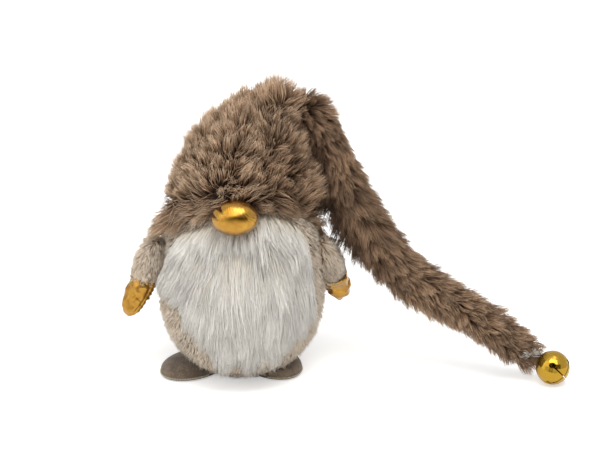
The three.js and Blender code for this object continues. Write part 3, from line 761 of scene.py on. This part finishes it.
# %% [markdown]
# A line through a few places, such as the middle of the tail, is drawn with Catmull and Rom's
# spline, as in the CAD source, and is measured along its length. The tail's line is the CAD's,
# pressed towards the crown by up to 4 mm, as the fur between them is.

# %% Lines
SPLINE_STEPS = 24


def spline(places, steps=SPLINE_STEPS):
    """Points close together on the smooth line through the places, and the length up to each."""
    rows = [np.array(p, float) for p in places]
    rows = [2 * rows[0] - rows[1], *rows, 2 * rows[-1] - rows[-2]]
    points = []
    for p0, p1, p2, p3 in zip(rows, rows[1:], rows[2:], rows[3:]):
        d0, d1, d2 = (max(np.linalg.norm(b - a), 1e-9) ** 0.5 for a, b in ((p0, p1), (p1, p2), (p2, p3)))
        t1 = ((p1 - p0) / d0 - (p2 - p0) / (d0 + d1) + (p2 - p1) / d1) * d1
        t2 = ((p2 - p1) / d1 - (p3 - p1) / (d1 + d2) + (p3 - p2) / d2) * d1
        for t in np.arange(steps) / steps:
            points.append(p1 + t1 * t + (3 * (p2 - p1) - 2 * t1 - t2) * t ** 2
                          + (2 * (p1 - p2) + t1 + t2) * t ** 3)
    points.append(rows[-2])
    points = np.array(points)
    lengths = np.concatenate([[0], np.cumsum(np.linalg.norm(np.diff(points, axis=0), axis=1))])
    return points, lengths


def on_line(line, distance):
    """The point and the direction of travel at a distance along the line."""
    points, lengths = line
    at, before, after = (read_off(distance + d, lengths, points) for d in (0, -0.5, 0.5))
    return at, unit(after - before)


# The middle of the tail, from inside the crown over the fold to its tip
TAIL_ROUTE = [(30, 0, 158), (41, 0, 153), (49, 0, 140), (55.5, 0, 122), (63.5, 0, 102), (74, -0.5, 84.5),
              (86, -1.5, 68.5), (99, -3.5, 56), (113, -7, 47.5), (130.5, -12, 39), (147, -17.5, 29.5),
              (167.47, -21.72, 14.36)]
TAIL_START, TAIL_END = 12.6, 7.4
# The knitted tube is this share of the fur's outline
TUBE_SHARE = 0.58
tail_line = spline(TAIL_ROUTE)
# The fold is the second place on the line, and the bends are measured from it
fold_at = tail_line[1][SPLINE_STEPS]
tail_length = tail_line[1][-1] - fold_at
print("tail from its fold:", round(tail_length, 1), "mm")


def by_the_tail(points):
    """For each point, the nearest place on the tail's line.

    It is given as its number, how far past the fold it is and how far from the point.
    """
    apart = np.linalg.norm(points[:, None] / MM - tail_line[0], axis=2)
    nearest = apart.argmin(axis=1)
    return nearest, tail_line[1][nearest] - fold_at, apart.min(axis=1)


# %% [markdown]
# The crown leans to the right, where the tail begins. Its skin is 8 mm inside the outline of the
# fur, but never inside the head that it is pulled over.

# %% Crown skin
CROWN_FOOT = 66
CROWN_TOP = 172.5
CROWN_LEAN = 20
CROWN_WIDTH = 47.5
CROWN_DEPTH = 48.5
FUR_DEPTH = 8
# Rows of height, lean and size, each as a share
crown_rows = spline([(0, 0, 1), (0.225, 0, 0.99), (0.395, 0.015, 0.958), (0.526, 0.04, 0.885),
                     (0.648, 0.11, 0.79), (0.76, 0.3, 0.672), (0.854, 0.55, 0.532),
                     (0.93, 0.775, 0.375), (0.977, 0.925, 0.218), (1, 1, 0)], steps=8)[0]


def crown_shape(u, v):
    """The outline of the crown's fur: u goes round it, v from the brim's edge to the top."""
    angle = 2 * math.pi * u
    edge = brim_height(place(CROWN_WIDTH * math.cos(angle), 0.97 * CROWN_DEPTH * math.sin(angle), 0)) + 4
    lowest = (edge - CROWN_FOOT) / (CROWN_TOP - CROWN_FOOT)
    up = lowest + (1 - lowest) * (1 - (1 - v) ** 1.25)
    lean = np.interp(up, crown_rows[:, 0], crown_rows[:, 1]) * CROWN_LEAN
    size = np.interp(up, crown_rows[:, 0], crown_rows[:, 2])
    height = CROWN_FOOT + (CROWN_TOP - CROWN_FOOT) * up
    return place(lean + CROWN_WIDTH * size * math.cos(angle),
                 CROWN_DEPTH * size * math.sin(angle), height)


def outside_head(inside):
    """The place itself, or where it would be inside the head, just outside it."""
    radius = math.hypot(inside.x, inside.y) / MM
    wanted = body_radius(inside.z / MM, PLUSH_DEPTH) + 1.6 if inside.z / MM < HEAD_TOP else 0
    grow = max(1, wanted / max(radius, 1e-6))
    return (inside.x * grow, inside.y * grow, inside.z)


crown_skin = sewn("hat_crown_backing", 96, 44, crown_shape, taupe_backing)
shrunk = [outside_head(v.co - v.normal * FUR_DEPTH * MM) for v in crown_skin.data.vertices]
set_points(crown_skin.data, shrunk)
print("crown skin:", len(crown_skin.data.vertices), "points")

# %% [markdown]
# The nose is a small stuffed ball, a little wider than it is high. It is made before the fur,
# because the fur is brushed round it.

# %% Nose
NOSE_CENTRE = (-3, -46.1, 108.5)
NOSE_HALF = (13.4, 10.4, 10.3)
# Where each tuck is in the turn round the nose, and its depth as a share
NOSE_TUCKS = ((2.35, 0.2), (2.9, 0.17))


def nose_shape(u, v):
    """A ball round the Y axis with gathers at its back and two tucks at its upper left."""
    turn = 2 * math.pi * u
    tilt = math.pi * v
    across, up, ahead = (math.cos(turn) * math.sin(tilt), math.sin(turn) * math.sin(tilt), -math.cos(tilt))
    gathers = 0.035 * math.sin(17 * turn) * rise(v, 0.5, 0.4)
    tucks = 0.0
    for tuck, depth in NOSE_TUCKS:
        tucks += depth * ridge(turn, tuck, 0.03 + 0.12 * v) * rise(v, 0.22, 0.2)
    puff = 1 + 0.02 * noise.noise(Vector((across, up, ahead)) * 2.2) + gathers - tucks
    return place(*(centre + half * puff * way
                   for centre, half, way in zip(NOSE_CENTRE, NOSE_HALF, (across, ahead, up))))


nose = sewn("nose_foil", 160, 72, nose_shape, gold_foil)
stuffed_for("nose_cover")
belong("gnome", "gold_foil_cloth", nose)

# %% [markdown]
# The crown's pile is brushed up and outwards over most of the hat, from the nose up too, and down
# at the brim. In the crease beside the tail it is short and painted dark to its tips, as painted shade.

# %% Crown fur
crown_guard = form_guard(crown_skin, gap=0.5 * MM)
nose_guard = form_guard(nose, gap=0.4 * MM)


def crown_keep_out(points):
    """Moves points out of the crown's skin and the nose."""
    return nose_guard(crown_guard(points))


roots, upright = scatter(crown_skin, 1.4, 21)
x, y, z = (roots / MM).T
over_brim = z - brim_height(roots)
# The pile parts about 14 mm over the brim, lower beside the tail, and is brushed down below. Beside
# the nose it is brushed away from it, and over the nose it isn't brushed down
in_front = ease(-y / 40)
from_nose = x - NOSE_CENTRE[0]
parting = 14 - 2 * in_front - 9 * rise(x, 22, 12) + 4 * swirl(roots, 0.03, 5)[:, 0]
downwards = fall(over_brim, parting, 7) * (1 - in_front * fall(np.abs(from_nose), 5, 7))
rising = tangent(-DOWN, upright)
aside = tangent(np.sign(from_nose)[:, None] * [1.0, 0.0, 0.0], upright) * (in_front * downwards)[:, None]
stray = (0.9 * swirl(roots, 0.024, 2) + 0.5 * swirl(roots, 0.008, 3)) * (1 - 0.6 * downwards)[:, None]
comb = tangent(rising * (1 - 2 * downwards)[:, None] + aside + stray, upright)
# Tall at the top by the fold, short at the right of the brim, standing out at its left and close over that
tall = rise(z, 146, 14) * (0.1 + 0.9 * rise(x, 8, 12))
at_right = rise(x, 2, 10) * rise(15, y, 20) * (1 - 0.6 * rise(x, 34, 6))
beside_tail = rise(x, 22, 15) * fall(z, 112, 15) * (1 - downwards)
crease = fall(by_the_tail(roots)[2], 13, 8) * fall(z, 142, 10)
at_left = rise(-x, 28, 12) * rise(10, y, 20) * downwards
close = rise(-x, 20, 12) * rise(over_brim, 16, 8) * fall(z, 140, 15)
length = 13.5 + (4 - 5 * at_right) * downwards + 5 * beside_tail + 1.5 * tall - 2 * crease - 4 * close
lift = (0.52 - 0.28 * downwards + 0.2 * tall + 0.34 * at_left)[:, None]
lines, tone = hair_lines(roots, upright, comb, length, lift, seed=22, levels=4, droop=0.25,
                         scatter_by=0.14, wave=0.9, wavelength=13, guard=crown_keep_out,
                         gather=((120, 0.3), (16, 0.55)))
# Painted shade: in the crease beside the tail, and low at the right of the brim, hairs are coloured only
# part of the way to their light tips. Near the top they are a little darker too.
shown = 1 - 0.65 * crease - 0.2 * at_right * (1 - crease) * fall(z, 130, 20)
shown -= 0.12 * rise(z, 135, 15) * (1 - crease)
quarter = (roots[:, 0] > 0) * 2 + (roots[:, 1] > 0)
crown_fur = hair_meshes("hat_crown_fur", ("front_left", "back_left", "front_right", "back_right"),
                        quarter, lines, tone, 0.42, taupe_pile, shown)
thicken(crown_skin, 1.0)
stuffed_for("hat_crown")
belong("gnome", "taupe_fur", crown_skin, *crown_fur)

# %% [markdown]
# The tail is one long tube of the same fur, which gets thinner to its tip. It bends in four
# places: at the fold, and 64, 116 and 158 mm further on. Each piece of it runs from the middle of
# one length to the middle of the next, so it crosses just one bend.

# %% Tail


def tail_radius(distance):
    """The radius of the fur's outline so far past the fold."""
    share = min(max(distance / tail_length, 0), 1)
    return TAIL_START + (TAIL_END - TAIL_START) * share ** 1.6


def tail_shape(first, last):
    """The knitted tube inside the fur, from one distance past the fold to another."""
    def shape(u, v):
        distance = first + (last - first) * v
        centre, travel = on_line(tail_line, fold_at + distance)
        across = unit(np.cross(travel, (0, 0, 1)))
        over = np.cross(across, travel)
        radius = TUBE_SHARE * tail_radius(distance)
        # It closes in a dome at its tip, and in the crown
        end = min((tail_length - distance) / (1.2 * TAIL_END), (distance + 12) / 9, 1)
        radius *= math.sqrt(max(1 - (1 - end) ** 2, 0))
        turn = 2 * math.pi * u
        return Vector(centre + radius * (across * math.cos(turn) + over * math.sin(turn))) * MM

    return shape


# Name, where it starts and stops past the fold, its two bodies, their bend, half the bend's length
# and the CAD node
TAIL_PIECES = (
    ("fold", -12, 32, "gnome", "tail_upper", 0, 12, "hat_tail_upper"),
    ("upper", 32, 90, "tail_upper", "tail_middle", 64, 14, "hat_tail_middle"),
    ("middle", 90, 137, "tail_middle", "tail_lower", 116, 12, "hat_tail_lower"),
    ("lower", 137, tail_length, "tail_lower", "tail_tip", 158, 12, "hat_tail_tip"),
)
for number, (name, first, last, one, other, bend, half, node) in enumerate(TAIL_PIECES):
    skin = sewn(f"hat_tail_backing_{name}", 32, max(10, int((last - first) / 2.5)),
                tail_shape(first, last), taupe_backing)
    roots, upright = scatter(skin, 2.6, 31 + number)
    nearest, distance, _ = by_the_tail(roots)
    travel = unit(np.gradient(tail_line[0], axis=0))[nearest]
    comb = tangent(travel + 0.5 * swirl(roots, 0.02, 6) + 0.35 * swirl(roots, 0.007, 7), upright)
    # Its inner side lies against the crown, where its colour is painted darker as painted shade. It is
    # fullest below that
    inner = ease((tail_line[0][nearest, 0] - roots[:, 0] / MM) / 6)
    full = rise(distance, 30, 20) * fall(distance, 72, 16)
    on_top = (1 - ease((distance + 4) / 10)) * ease(upright[:, 2] / 0.5)
    share = np.clip(distance / tail_length, 0, 1)
    length = 8 + 6.5 * rise(distance, 5, 50) + full * (1 + 1.5 * inner) + 3 * on_top - 2.5 * share ** 3
    # Painted shade: the tail's hairs stop short of their light tips up to 60 mm past the fold, less on to
    # 120 mm, and most on the inner side
    shown = 1 - (0.1 + 0.4 * inner) * fall(distance, 60, 60)
    lift = (0.46 + 0.1 * rise(distance, 10, 30) + 0.1 * full * inner + 0.15 * on_top)[:, None]
    lines, tone = hair_lines(roots, upright, comb, length, lift, seed=41 + number, levels=4,
                             droop=0.12, follow=0.4, scatter_by=0.13, wave=0.7, wavelength=12,
                             guard=crown_guard if number < 2 else None, gather=((90, 0.3), (14, 0.6)))
    lines[..., 2] = np.maximum(lines[..., 2], LOWEST_HAIR)
    fur = hair_mesh(f"hat_tail_fur_{name}", lines, tone, 0.4, tail_shaded_pile, shown)
    thicken(skin, 0.8)
    stuffed_for(node)
    start, end = (on_line(tail_line, fold_at + bend + side * half)[0] * MM for side in (-1, 1))
    for piece in (skin, fur):
        tuple(start)
        tuple(end)
        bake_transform(piece)

# %% [markdown]
# The beard is a small panel of long white fur. Its cloth is only as long as the hem and the upper
# belly need, and the hairs hang on below it. They spread from under the nose like a fan and lie
# on the belly, where the longest reach the feet.

# %% Beard
BEARD_TOP = 96.6
BEARD_SIDE_DROP = 10.5
BEARD_BOTTOM = 12
BEARD_SIDE_BOTTOM = 46
BEARD_HAIR = 38
BEARD_HALF_ANGLE = 48
# How far its line draws in for each millimetre below the widest place
BEARD_HANG = 0.12
# How low the locks reach, by the angle from the front, in degrees and millimetres
BEARD_EDGE = ((-60, 50), (-40, 46), (-31, 39), (-26, 31), (-15, 14), (-8, 8.5), (10, 9), (22, 15),
              (34, 25), (50, 34), (60, 38))


def beard_place(across, down, off):
    """A point of the panel: across from -1 to 1, down from 0 at the hem to 1, and so far off."""
    half_angle = math.radians(BEARD_HALF_ANGLE + 9 * ease(down / 0.45))
    top = BEARD_TOP - BEARD_SIDE_DROP * across ** 2
    bottom = BEARD_BOTTOM + (BEARD_SIDE_BOTTOM - BEARD_BOTTOM) * abs(across) ** 2.4
    low = bottom + BEARD_HAIR * 0.75
    height = top + (min(low, top - 8) - top) * down
    radius = body_radius(max(height, BELLY_HEIGHT)) + off
    return place(radius * math.sin(half_angle * across), -radius * math.cos(half_angle * across), height)


beard_panel = sewn("beard_backing", 48, 36, lambda u, v: beard_place(2 * u - 1, v, 1.2), white_backing)
if sum(face.normal.y * face.area for face in beard_panel.data.polygons) > 0:
    beard_panel.data.flip_normals()

# %% [markdown]
# A foot is an oval pad: a sole and an upper of suede, sewn together round the rim, with a thin
# padding between. The belly sits on its inner part, so the pad is pressed thin there.

# %% Feet
FOOT_HALF_LENGTH = 23
FOOT_HALF_WIDTH = 16
FOOT_HEIGHT = 8.3
FOOT_RIM = 2.6
SOLE = 1.2
BASE_EDGE = 20.6
# Where the middle of each foot is, and by how many degrees its toe is turned
FEET = {"left": (-28.5, -5, 38), "right": (17.5, -2, -26)}


def foot_place(side, share, turn, height, grow=0.0):
    """A point of a foot's oval: a share of its size out from the middle, at a turn, and so high."""
    x, y, splay = FEET[side]
    splay = math.radians(splay)
    ahead = (FOOT_HALF_LENGTH + grow) * share * math.cos(turn)
    across = (FOOT_HALF_WIDTH + grow) * share * math.sin(turn)
    x += -ahead * math.sin(splay) + across * math.cos(splay)
    y += -ahead * math.cos(splay) - across * math.sin(splay)
    # Under the belly the pad is as thin as the room there, and it stops at the base's edge
    out = math.hypot(x, y)
    if out < BASE_EDGE:
        x, y = (way * BASE_EDGE / max(out, 1e-6) for way in (x, y))
        out = BASE_EDGE
    belly = BELLY_HEIGHT - math.sqrt(BELLY_RADIUS ** 2 - min(out, BELLY_RADIUS - 0.1) ** 2)
    return place(x, y, min(height, max(belly - 0.5, height * 0.12)))


def padded_oval(side, rows):
    """A shape for sewn(): rows of share and height, from the middle below to the middle above."""
    steps = np.arange(len(rows)) / (len(rows) - 1)
    rows = np.array(rows, float)

    def shape(u, v):
        share, height = read_off(v, steps, rows)
        return foot_place(side, share, 2 * math.pi * u, height)

    return shape


upper_rows = [(0, 1.4), (0.5, 1.4), (0.93, 1.4), (0.985, 1.55), (1.0, 2.0), (1.0, FOOT_RIM)]
upper_rows += [((1 - s ** 2.6) ** 0.5, FOOT_RIM + (FOOT_HEIGHT - FOOT_RIM) * s)
               for s in (0.12, 0.25, 0.38, 0.5, 0.62, 0.72, 0.81, 0.88, 0.94, 0.975, 0.993, 1)]
sole_rows = [(0, 0.05), (0.5, 0.05), (0.94, 0.05), (0.985, 0.25), (1.0, 0.6), (0.99, 0.95),
             (0.94, SOLE), (0.5, SOLE), (0, SOLE)]
foot_uppers = {}
for side in FEET:
    upper = sewn(f"foot_upper_suede_{side}", 96, 34, padded_oval(side, upper_rows), taupe_suede)
    sole = sewn(f"foot_sole_suede_{side}", 96, 24, padded_oval(side, sole_rows), taupe_suede)
    stuffed_for(f"foot_upper_{side}")
    stuffed_for(f"foot_sole_{side}")
    belong(f"foot_{side}", "suede_felt", upper, sole)
    foot_uppers[side] = upper

# %% [markdown]
# Where upper and sole meet, the rim is oversewn with a lighter thread. Its stitches are short
# slanted beads, 1.5 mm apart.

# %% Rim stitches
STITCH_PITCH = 1.5
STITCH_LENGTH = 1.7
STITCH_WIDTH = 0.9
RIM_HEIGHT = 1.35
RIM_OUT = 0.15
# Nearer to the middle the belly hides the rim
STITCHED_FROM = 26


def bead(bm, centre, travel, length_mm, width_mm):
    """A short rounded stitch along a direction."""
    turn = Vector(travel).to_track_quat("X", "Z").to_matrix().to_4x4()
    size = Matrix.Diagonal((length_mm / 2 * MM, width_mm / 2 * MM, width_mm / 2 * MM, 1))
    bmesh.ops.create_uvsphere(bm, u_segments=6, v_segments=4, radius=1.0,
                              matrix=Matrix.Translation(centre) @ turn @ size)


for side in FEET:
    rim = [foot_place(side, 1.0, turn, RIM_HEIGHT, RIM_OUT) for turn in np.linspace(0, 2 * math.pi, 400)]
    lengths = np.concatenate([[0], np.cumsum([(b - a).length for a, b in zip(rim, rim[1:])])])
    rim = np.array(rim)
    bm = bmesh.new()
    for distance in np.arange(0, lengths[-1], STITCH_PITCH * MM):
        centre, after = (Vector(read_off(distance + d, lengths, rim)) for d in (0, 0.5 * MM))
        if math.hypot(centre.x, centre.y) > STITCHED_FROM * MM:
            slant = (after - centre).normalized() + Vector((0, 0, 0.5))
            bead(bm, centre, slant, STITCH_LENGTH, STITCH_WIDTH)
    stitches = finish_mesh(bm, f"foot_rim_stitches_{side}", pellet_cotton)
    belong(f"foot_{side}", "cotton", stitches)

# %% [markdown]
# The beard's pile is worked flat and then laid on the belly: across is the way round the belly,
# down the way along it and off the height over it. So a hair that is long and straight on the
# table bends with the belly, and none floats off it or goes through it. From the widest place
# on, the beard hangs nearly straight.

# %% Beard pile
belly_heights = np.linspace(BEARD_TOP + 14, 2, 160)
belly_radii = np.array([body_radius(max(z, BELLY_HEIGHT)) - BEARD_HANG * max(BELLY_HEIGHT - z, 0)
                        for z in belly_heights])
belly_steps = np.hypot(np.diff(belly_heights), np.diff(belly_radii))
belly_down = np.concatenate([[0], np.cumsum(belly_steps)])
belly_down -= np.interp(-BEARD_TOP, -belly_heights, belly_down)
outwards = unit(np.stack([-np.gradient(belly_heights), np.gradient(belly_radii)], axis=1))


def on_belly(flat):
    """Points worked flat, as across, down and off, laid round the belly."""
    across, down, off = np.moveaxis(flat / MM, -1, 0)
    radius, height = (np.interp(down, belly_down, row) for row in (belly_radii, belly_heights))
    out, up = (np.interp(down, belly_down, outwards[:, i]) for i in (0, 1))
    reach = radius + off * out
    angle = across / BELLY_RADIUS
    return np.stack([reach * np.sin(angle), -reach * np.cos(angle), height + off * up], axis=-1) * MM


foot_guard = form_guard(*foot_uppers.values(), gap=0.5 * MM)
roots = scatter(beard_panel, 3.6, 51)[0] / MM
roots = roots[np.arctan2(roots[:, 0], -roots[:, 1]) < math.radians(50)]
# The hem is turned under, and the pile of the turned edge stands up above the seam to the brim.
# The brim is higher right of the nose.
HEM_HAIRS = 2600
chance = np.random.default_rng(53)
hem_angle = np.radians(chance.uniform(-50, 50, HEM_HAIRS))
hem_rise = (7 + 5 * rise(hem_angle, 0.14, 0.2)) * chance.random(HEM_HAIRS)
hem_height = BEARD_TOP - BEARD_SIDE_DROP * (hem_angle / math.radians(BEARD_HALF_ANGLE)) ** 2 + hem_rise
angle = np.append(np.arctan2(roots[:, 0], -roots[:, 1]), hem_angle)
height = np.append(roots[:, 2], hem_height)
on_hem = np.arange(len(angle)) >= len(roots)
down = np.interp(-height, -belly_heights, belly_down)
flat = np.stack([angle * BELLY_RADIUS, down, np.full(len(angle), 1.4)], axis=1) * MM
comb = np.stack([np.where(angle < 0, 0.5, 0.3) * angle, np.ones(len(angle)), np.zeros(len(angle))], axis=1)
comb = unit((comb + 0.42 * swirl(flat, 0.024, 8) + 0.2 * swirl(flat, 0.007, 4)) * [1, 1, 0])
# Its lower edge is ragged, by locks some 6 mm wide, and one hair in eight is a long guard hair
edge_height = np.interp(np.degrees(angle) * 1.12, *zip(*BEARD_EDGE))
edge_height += 5 * np.maximum(swirl(flat * [1, 0, 0], 0.006, 17)[:, 0], -0.3)
room = np.interp(-edge_height, -belly_heights, belly_down) - down
is_guard = chance.random(len(angle)) < 0.125
reach = np.where(is_guard, np.clip(0.97 * room, 6, 1.45 * BEARD_HAIR), np.clip(0.93 * room, 6, BEARD_HAIR))
length = np.where(on_hem, 15 + 18 * chance.random(len(angle)), reach)
lift = np.where(on_hem, 0.5, 0.3)[:, None]
off_the_table = np.array([[0.0, 0.0, 1.0]])
lines, tone = hair_lines(flat, off_the_table, comb, length, lift, seed=52, levels=5, droop=0.1,
                         scatter_by=0.06, wave=0.8, wavelength=28, spread=0.2,
                         gather=((400, 0.2), (80, 0.5), (14, 0.5)))
# Locks lie some 4 to 9 mm high on the belly, one over another, and less towards their lower edge
layer = 6 + 2.0 * swirl(flat, 0.024, 14)[:, :1] + (5.0 * (tone - 0.5) + 1.5 * is_guard)[:, None]
layer = np.maximum(layer, 3) * (1 - 0.6 * ease((lines[..., 1] / MM - 50) / 35)) * MM
lines[..., 2] = 0.8 * MM + layer * (1 - np.exp(-np.maximum(lines[..., 2] - 0.8 * MM, 0) / layer))
lines = on_belly(lines)
for level in range(1, lines.shape[1]):
    lines[:, level] = foot_guard(nose_guard(lines[:, level]))
lines[..., 2] = np.maximum(lines[..., 2], 0.5 * MM)
part_of = np.where(on_hem, 4, np.digitize(angle, np.radians([-26, 0, 26])))
beard_hair = hair_meshes("beard_hair", ("far_left", "left", "right", "far_right", "hem"),
                         part_of, lines, tone, 0.4, white_pile)
hem_hair = beard_hair.pop()
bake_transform(hem_hair)
thicken(beard_panel, 0.8)
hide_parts("beard")
belong("beard", "white_fur", beard_panel, *beard_hair)

# %% [markdown]
# An arm is a plush sleeve and a foil mitten on one line from the shoulder to the mitten's tip. The
# mitten is flat like a leaf, with its seam along the inner edge, where the foil puckers.

# %% Arms
SHOULDER, ELBOW, CUFF, MITTEN = 7.6, 8.2, 8.0, 9.0
MITTEN_FLATNESS = 0.72
CUFF_SHARE = 2 / 3
DOME_SHARE = 0.12
DOME_HEIGHT = 6.0
# The middle of each arm at the shoulder, in the sleeve, at the cuff and at the mitten's tip
ARMS = {
    "left": ((-49, -5, 76), (-55.2, -8, 64.5), (-57, -10, 56.5), (-66.5, -15, 36.5)),
    "right": ((47, -4, 75), (51.5, -2, 64), (53.5, 1, 56.5), (57.5, 7, 39)),
}
# The shoulder seam is this far from the middle of the body
SEWN_AT = 45.6
# The phase of the puckers over the mitten's length, in radians, which makes about eight of them
PUCKERING = 52
SLEEVE_PLUSH = 1.9
FOIL_DEPTH = 0.3
FOIL_SEAM = 0.8
# The mitten starts this share of the arm inside the sleeve
CUFF_LAP = 0.03
# The right mitten is the more crumpled
CREASES = {"left": 0.9, "right": 1.4}
arm_lines = {side: spline(places)[0] for side, places in ARMS.items()}


def arm_place(side, share, turn, inset, sewn_in=0.0):
    """A point of an arm: a share of the way down, at a turn round its line, inside its outline.

    sewn_in is how deep the mitten's seam is drawn in, in millimetres.
    """
    points = arm_lines[side]
    index = max(share, 0) * (len(points) - 1)
    centre = read_off(index, np.arange(len(points)), points)
    low, high = max(int(index) - 1, 0), min(int(index) + 2, len(points) - 1)
    travel = unit(points[high] - points[low])
    # Before its line begins, the sleeve closes in a dome
    before = min(share, 0) / DOME_SHARE
    centre = centre + travel * before * DOME_HEIGHT
    outward = np.array([1.0 if side == "right" else -1.0, 0, 0])
    across = unit(outward - travel * (outward @ travel))
    over = np.cross(travel, across)
    in_mitten = max(share - CUFF_SHARE, 0) / (1 - CUFF_SHARE)
    in_sleeve = min(max(share, 0) / CUFF_SHARE, 1)
    taper = SHOULDER + (CUFF - SHOULDER) * in_sleeve
    sleeve = taper + (ELBOW - taper) * math.sin(math.pi * in_sleeve ** 0.9)
    rounded = math.sqrt(max(1 - in_mitten ** 3, 0)) * math.sqrt(max(1 - before ** 2, 0))
    wide = sleeve + (MITTEN - sleeve) * ease(in_mitten / 0.4)
    deep = sleeve + (MITTEN * MITTEN_FLATNESS - sleeve) * ease(in_mitten / 0.5)
    wide, deep = (max(half * rounded - inset, 0) for half in (wide, deep))
    # The mitten narrows like a leaf, most of all along its inner edge
    wide *= 1 - (0.12 if math.cos(turn) > 0 else 0.4) * in_mitten
    # Its seam runs in front, just inside the inner edge, and the foil puckers beyond it
    seam_at = math.pi + (0.8 if side == "left" else -0.8)
    seam = ridge(turn, seam_at, 0.13) * sewn_in * rounded
    pucker = ridge(turn, math.pi, 0.55) * 0.4 * sewn_in * math.sin(PUCKERING * in_mitten) * rounded
    wide, deep = (max(half - seam + pucker, 0) for half in (wide, deep))
    point = centre + across * wide * math.cos(turn) + over * deep * math.sin(turn)
    if abs(point[0]) < SEWN_AT:
        point[0] = math.copysign(SEWN_AT, point[0])
    return Vector(point) * MM


def arm_shape(side, first, last, inset, sewn_in=0.0):
    """A shape for sewn(): the arm from one share of the way down to another."""
    def shape(u, v):
        return arm_place(side, first + (last - first) * v, 2 * math.pi * u, inset, sewn_in)

    return shape


for number, side in enumerate(ARMS):
    sleeve = sewn(f"sleeve_backing_{side}", 40, 26,
                  arm_shape(side, -DOME_SHARE, CUFF_SHARE, SLEEVE_PLUSH), beige_backing)
    mitten = sewn(f"mitten_foil_{side}", 96, 60,
                  arm_shape(side, CUFF_SHARE - CUFF_LAP, 1, FOIL_DEPTH, FOIL_SEAM), crinkled_foil)
    creased = [v.co + v.normal * CREASES[side] * MM
               * (noise.noise(v.co / (6.5 * MM)) + 0.4 * noise.noise(v.co / (3 * MM)))
               for v in mitten.data.vertices]
    set_points(mitten.data, creased)
    arm_guard = form_guard(sleeve, gap=0.3 * MM)
    roots, upright = scatter(sleeve, 3.2, 61 + number)
    downwards = unit(np.array(ARMS[side][2]) - np.array(ARMS[side][0]))
    comb = tangent(downwards + 0.35 * swirl(roots, 0.01, 9), upright)
    # The last rows are short, so that the cuff's edge is neat
    from_cuff = np.linalg.norm(roots / MM - ARMS[side][2], axis=1)
    length = 3.6 + 2.2 * rise(from_cuff, 9, 8)
    lines, tone = hair_lines(roots, upright, comb, length, 0.42, seed=71 + number, levels=3, follow=0.3,
                             scatter_by=0.16, gather=((60, 0.2), (9, 0.35)), guard=arm_guard)
    plush = hair_mesh(f"sleeve_plush_{side}", lines, tone, 0.45, beige_pile)
    thicken(sleeve, 0.9)
    thicken(mitten, 0.5)
    stuffed_for(f"sleeve_{side}")
    stuffed_for(f"mitten_{side}")
    belong(f"arm_{side}", "beige_plush", sleeve, plush)
    belong(f"arm_{side}", "gold_foil_cloth", mitten)

# %% [markdown]
# The stuffings don't show, but they are in the part, and a soft form is never a CAD block. Each is
# made from the room that the CAD gives it: its mesh is copied, joined at its points, divided and
# pulled in a little here and there, as fibre is when it is pushed in by hand.

# %% Stuffings


def stuffed(node, name, body, lumps_mm, moved=(0, 0, 0), material=fibre_fill, slot="fibre_fill"):
    """A lumpy filling from a copy of a CAD node's mesh, which it stands for, moved with its cover."""
    bm = bmesh.new()
    bm.from_mesh(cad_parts[node].data)
    bmesh.ops.remove_doubles(bm, verts=bm.verts, dist=0.02 * MM)
    bmesh.ops.triangulate(bm, faces=bm.faces)
    bmesh.ops.subdivide_edges(bm, edges=[e for e in bm.edges if e.calc_length() > 6 * MM], cuts=1,
                              use_grid_fill=True)
    bm.normal_update()
    for vertex in bm.verts:
        lump = 0.6 + 0.4 * noise.noise(vertex.co / (9 * MM))
        vertex.co += place(*moved) - vertex.normal * lumps_mm * MM * lump
    piece = finish_mesh(bm, name, material)
    stuffed_for(node)
    belong(body, slot, piece)


stuffed("weight_bag", "weight_bag_cotton", "gnome", 0.6, material=pellet_cotton, slot="cotton")
stuffed("body_stuffing", "body_fibre", "gnome", 0.5)
stuffed("hat_stuffing", "hat_fibre", "gnome", 5.0, moved=(0, 0, -4))
stuffed("nose_stuffing", "nose_fibre", "gnome", 2.6)
for side, moved in (("left", (-0.4, 0, 0)), ("right", (-1.4, 0, 0))):
    stuffed(f"arm_stuffing_{side}", f"arm_fibre_{side}", f"arm_{side}", 2.6, moved)
    stuffed(f"foot_padding_{side}", f"foot_fibre_{side}", f"foot_{side}", 0.1)

# %% [markdown]
# The bell's own shape comes from the CAD: its folded petals, the holes at their roots and the
# slits between them are all there. It gets its plating, and the pellet and the thread theirs.

# %% Bell and thread


def dress(node, material):
    """A CAD node keeps its shape and gets its material."""
    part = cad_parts[node]
    part.data.materials.clear()
    part.data.materials.append(material)


dress("bell_shell", gold_plating)
dress("bell_loop", gold_plating)
dress("bell_pellet", bright_steel)
dress("bell_thread", white_thread)
# The thread's cut ends have opened into single fibres, which stand out over the tail's fur
THREAD_KNOT = (168.5, -23.5, 15)
THREAD_ENDS = ((-4, -7, 5.5), (2, -7, 6.5))
FIBRES = 90
chance = np.random.default_rng(81)
knot = np.tile(np.array(THREAD_KNOT) * MM, (FIBRES, 1))
way = unit(np.array(THREAD_ENDS)[np.arange(FIBRES) % len(THREAD_ENDS)] + chance.normal(0, 1.0, (FIBRES, 3)))
lines, tone = hair_lines(knot, way, way, 11.5, 0.5, seed=82, scatter_by=0.1, wave=0.8, wavelength=6,
                         droop=0.3, gather=((12, 0.2),))
thread_ends = hair_mesh("bell_thread_ends", lines, tone, 0.5, white_thread)
belong("tail_tip", "cotton", thread_ends)
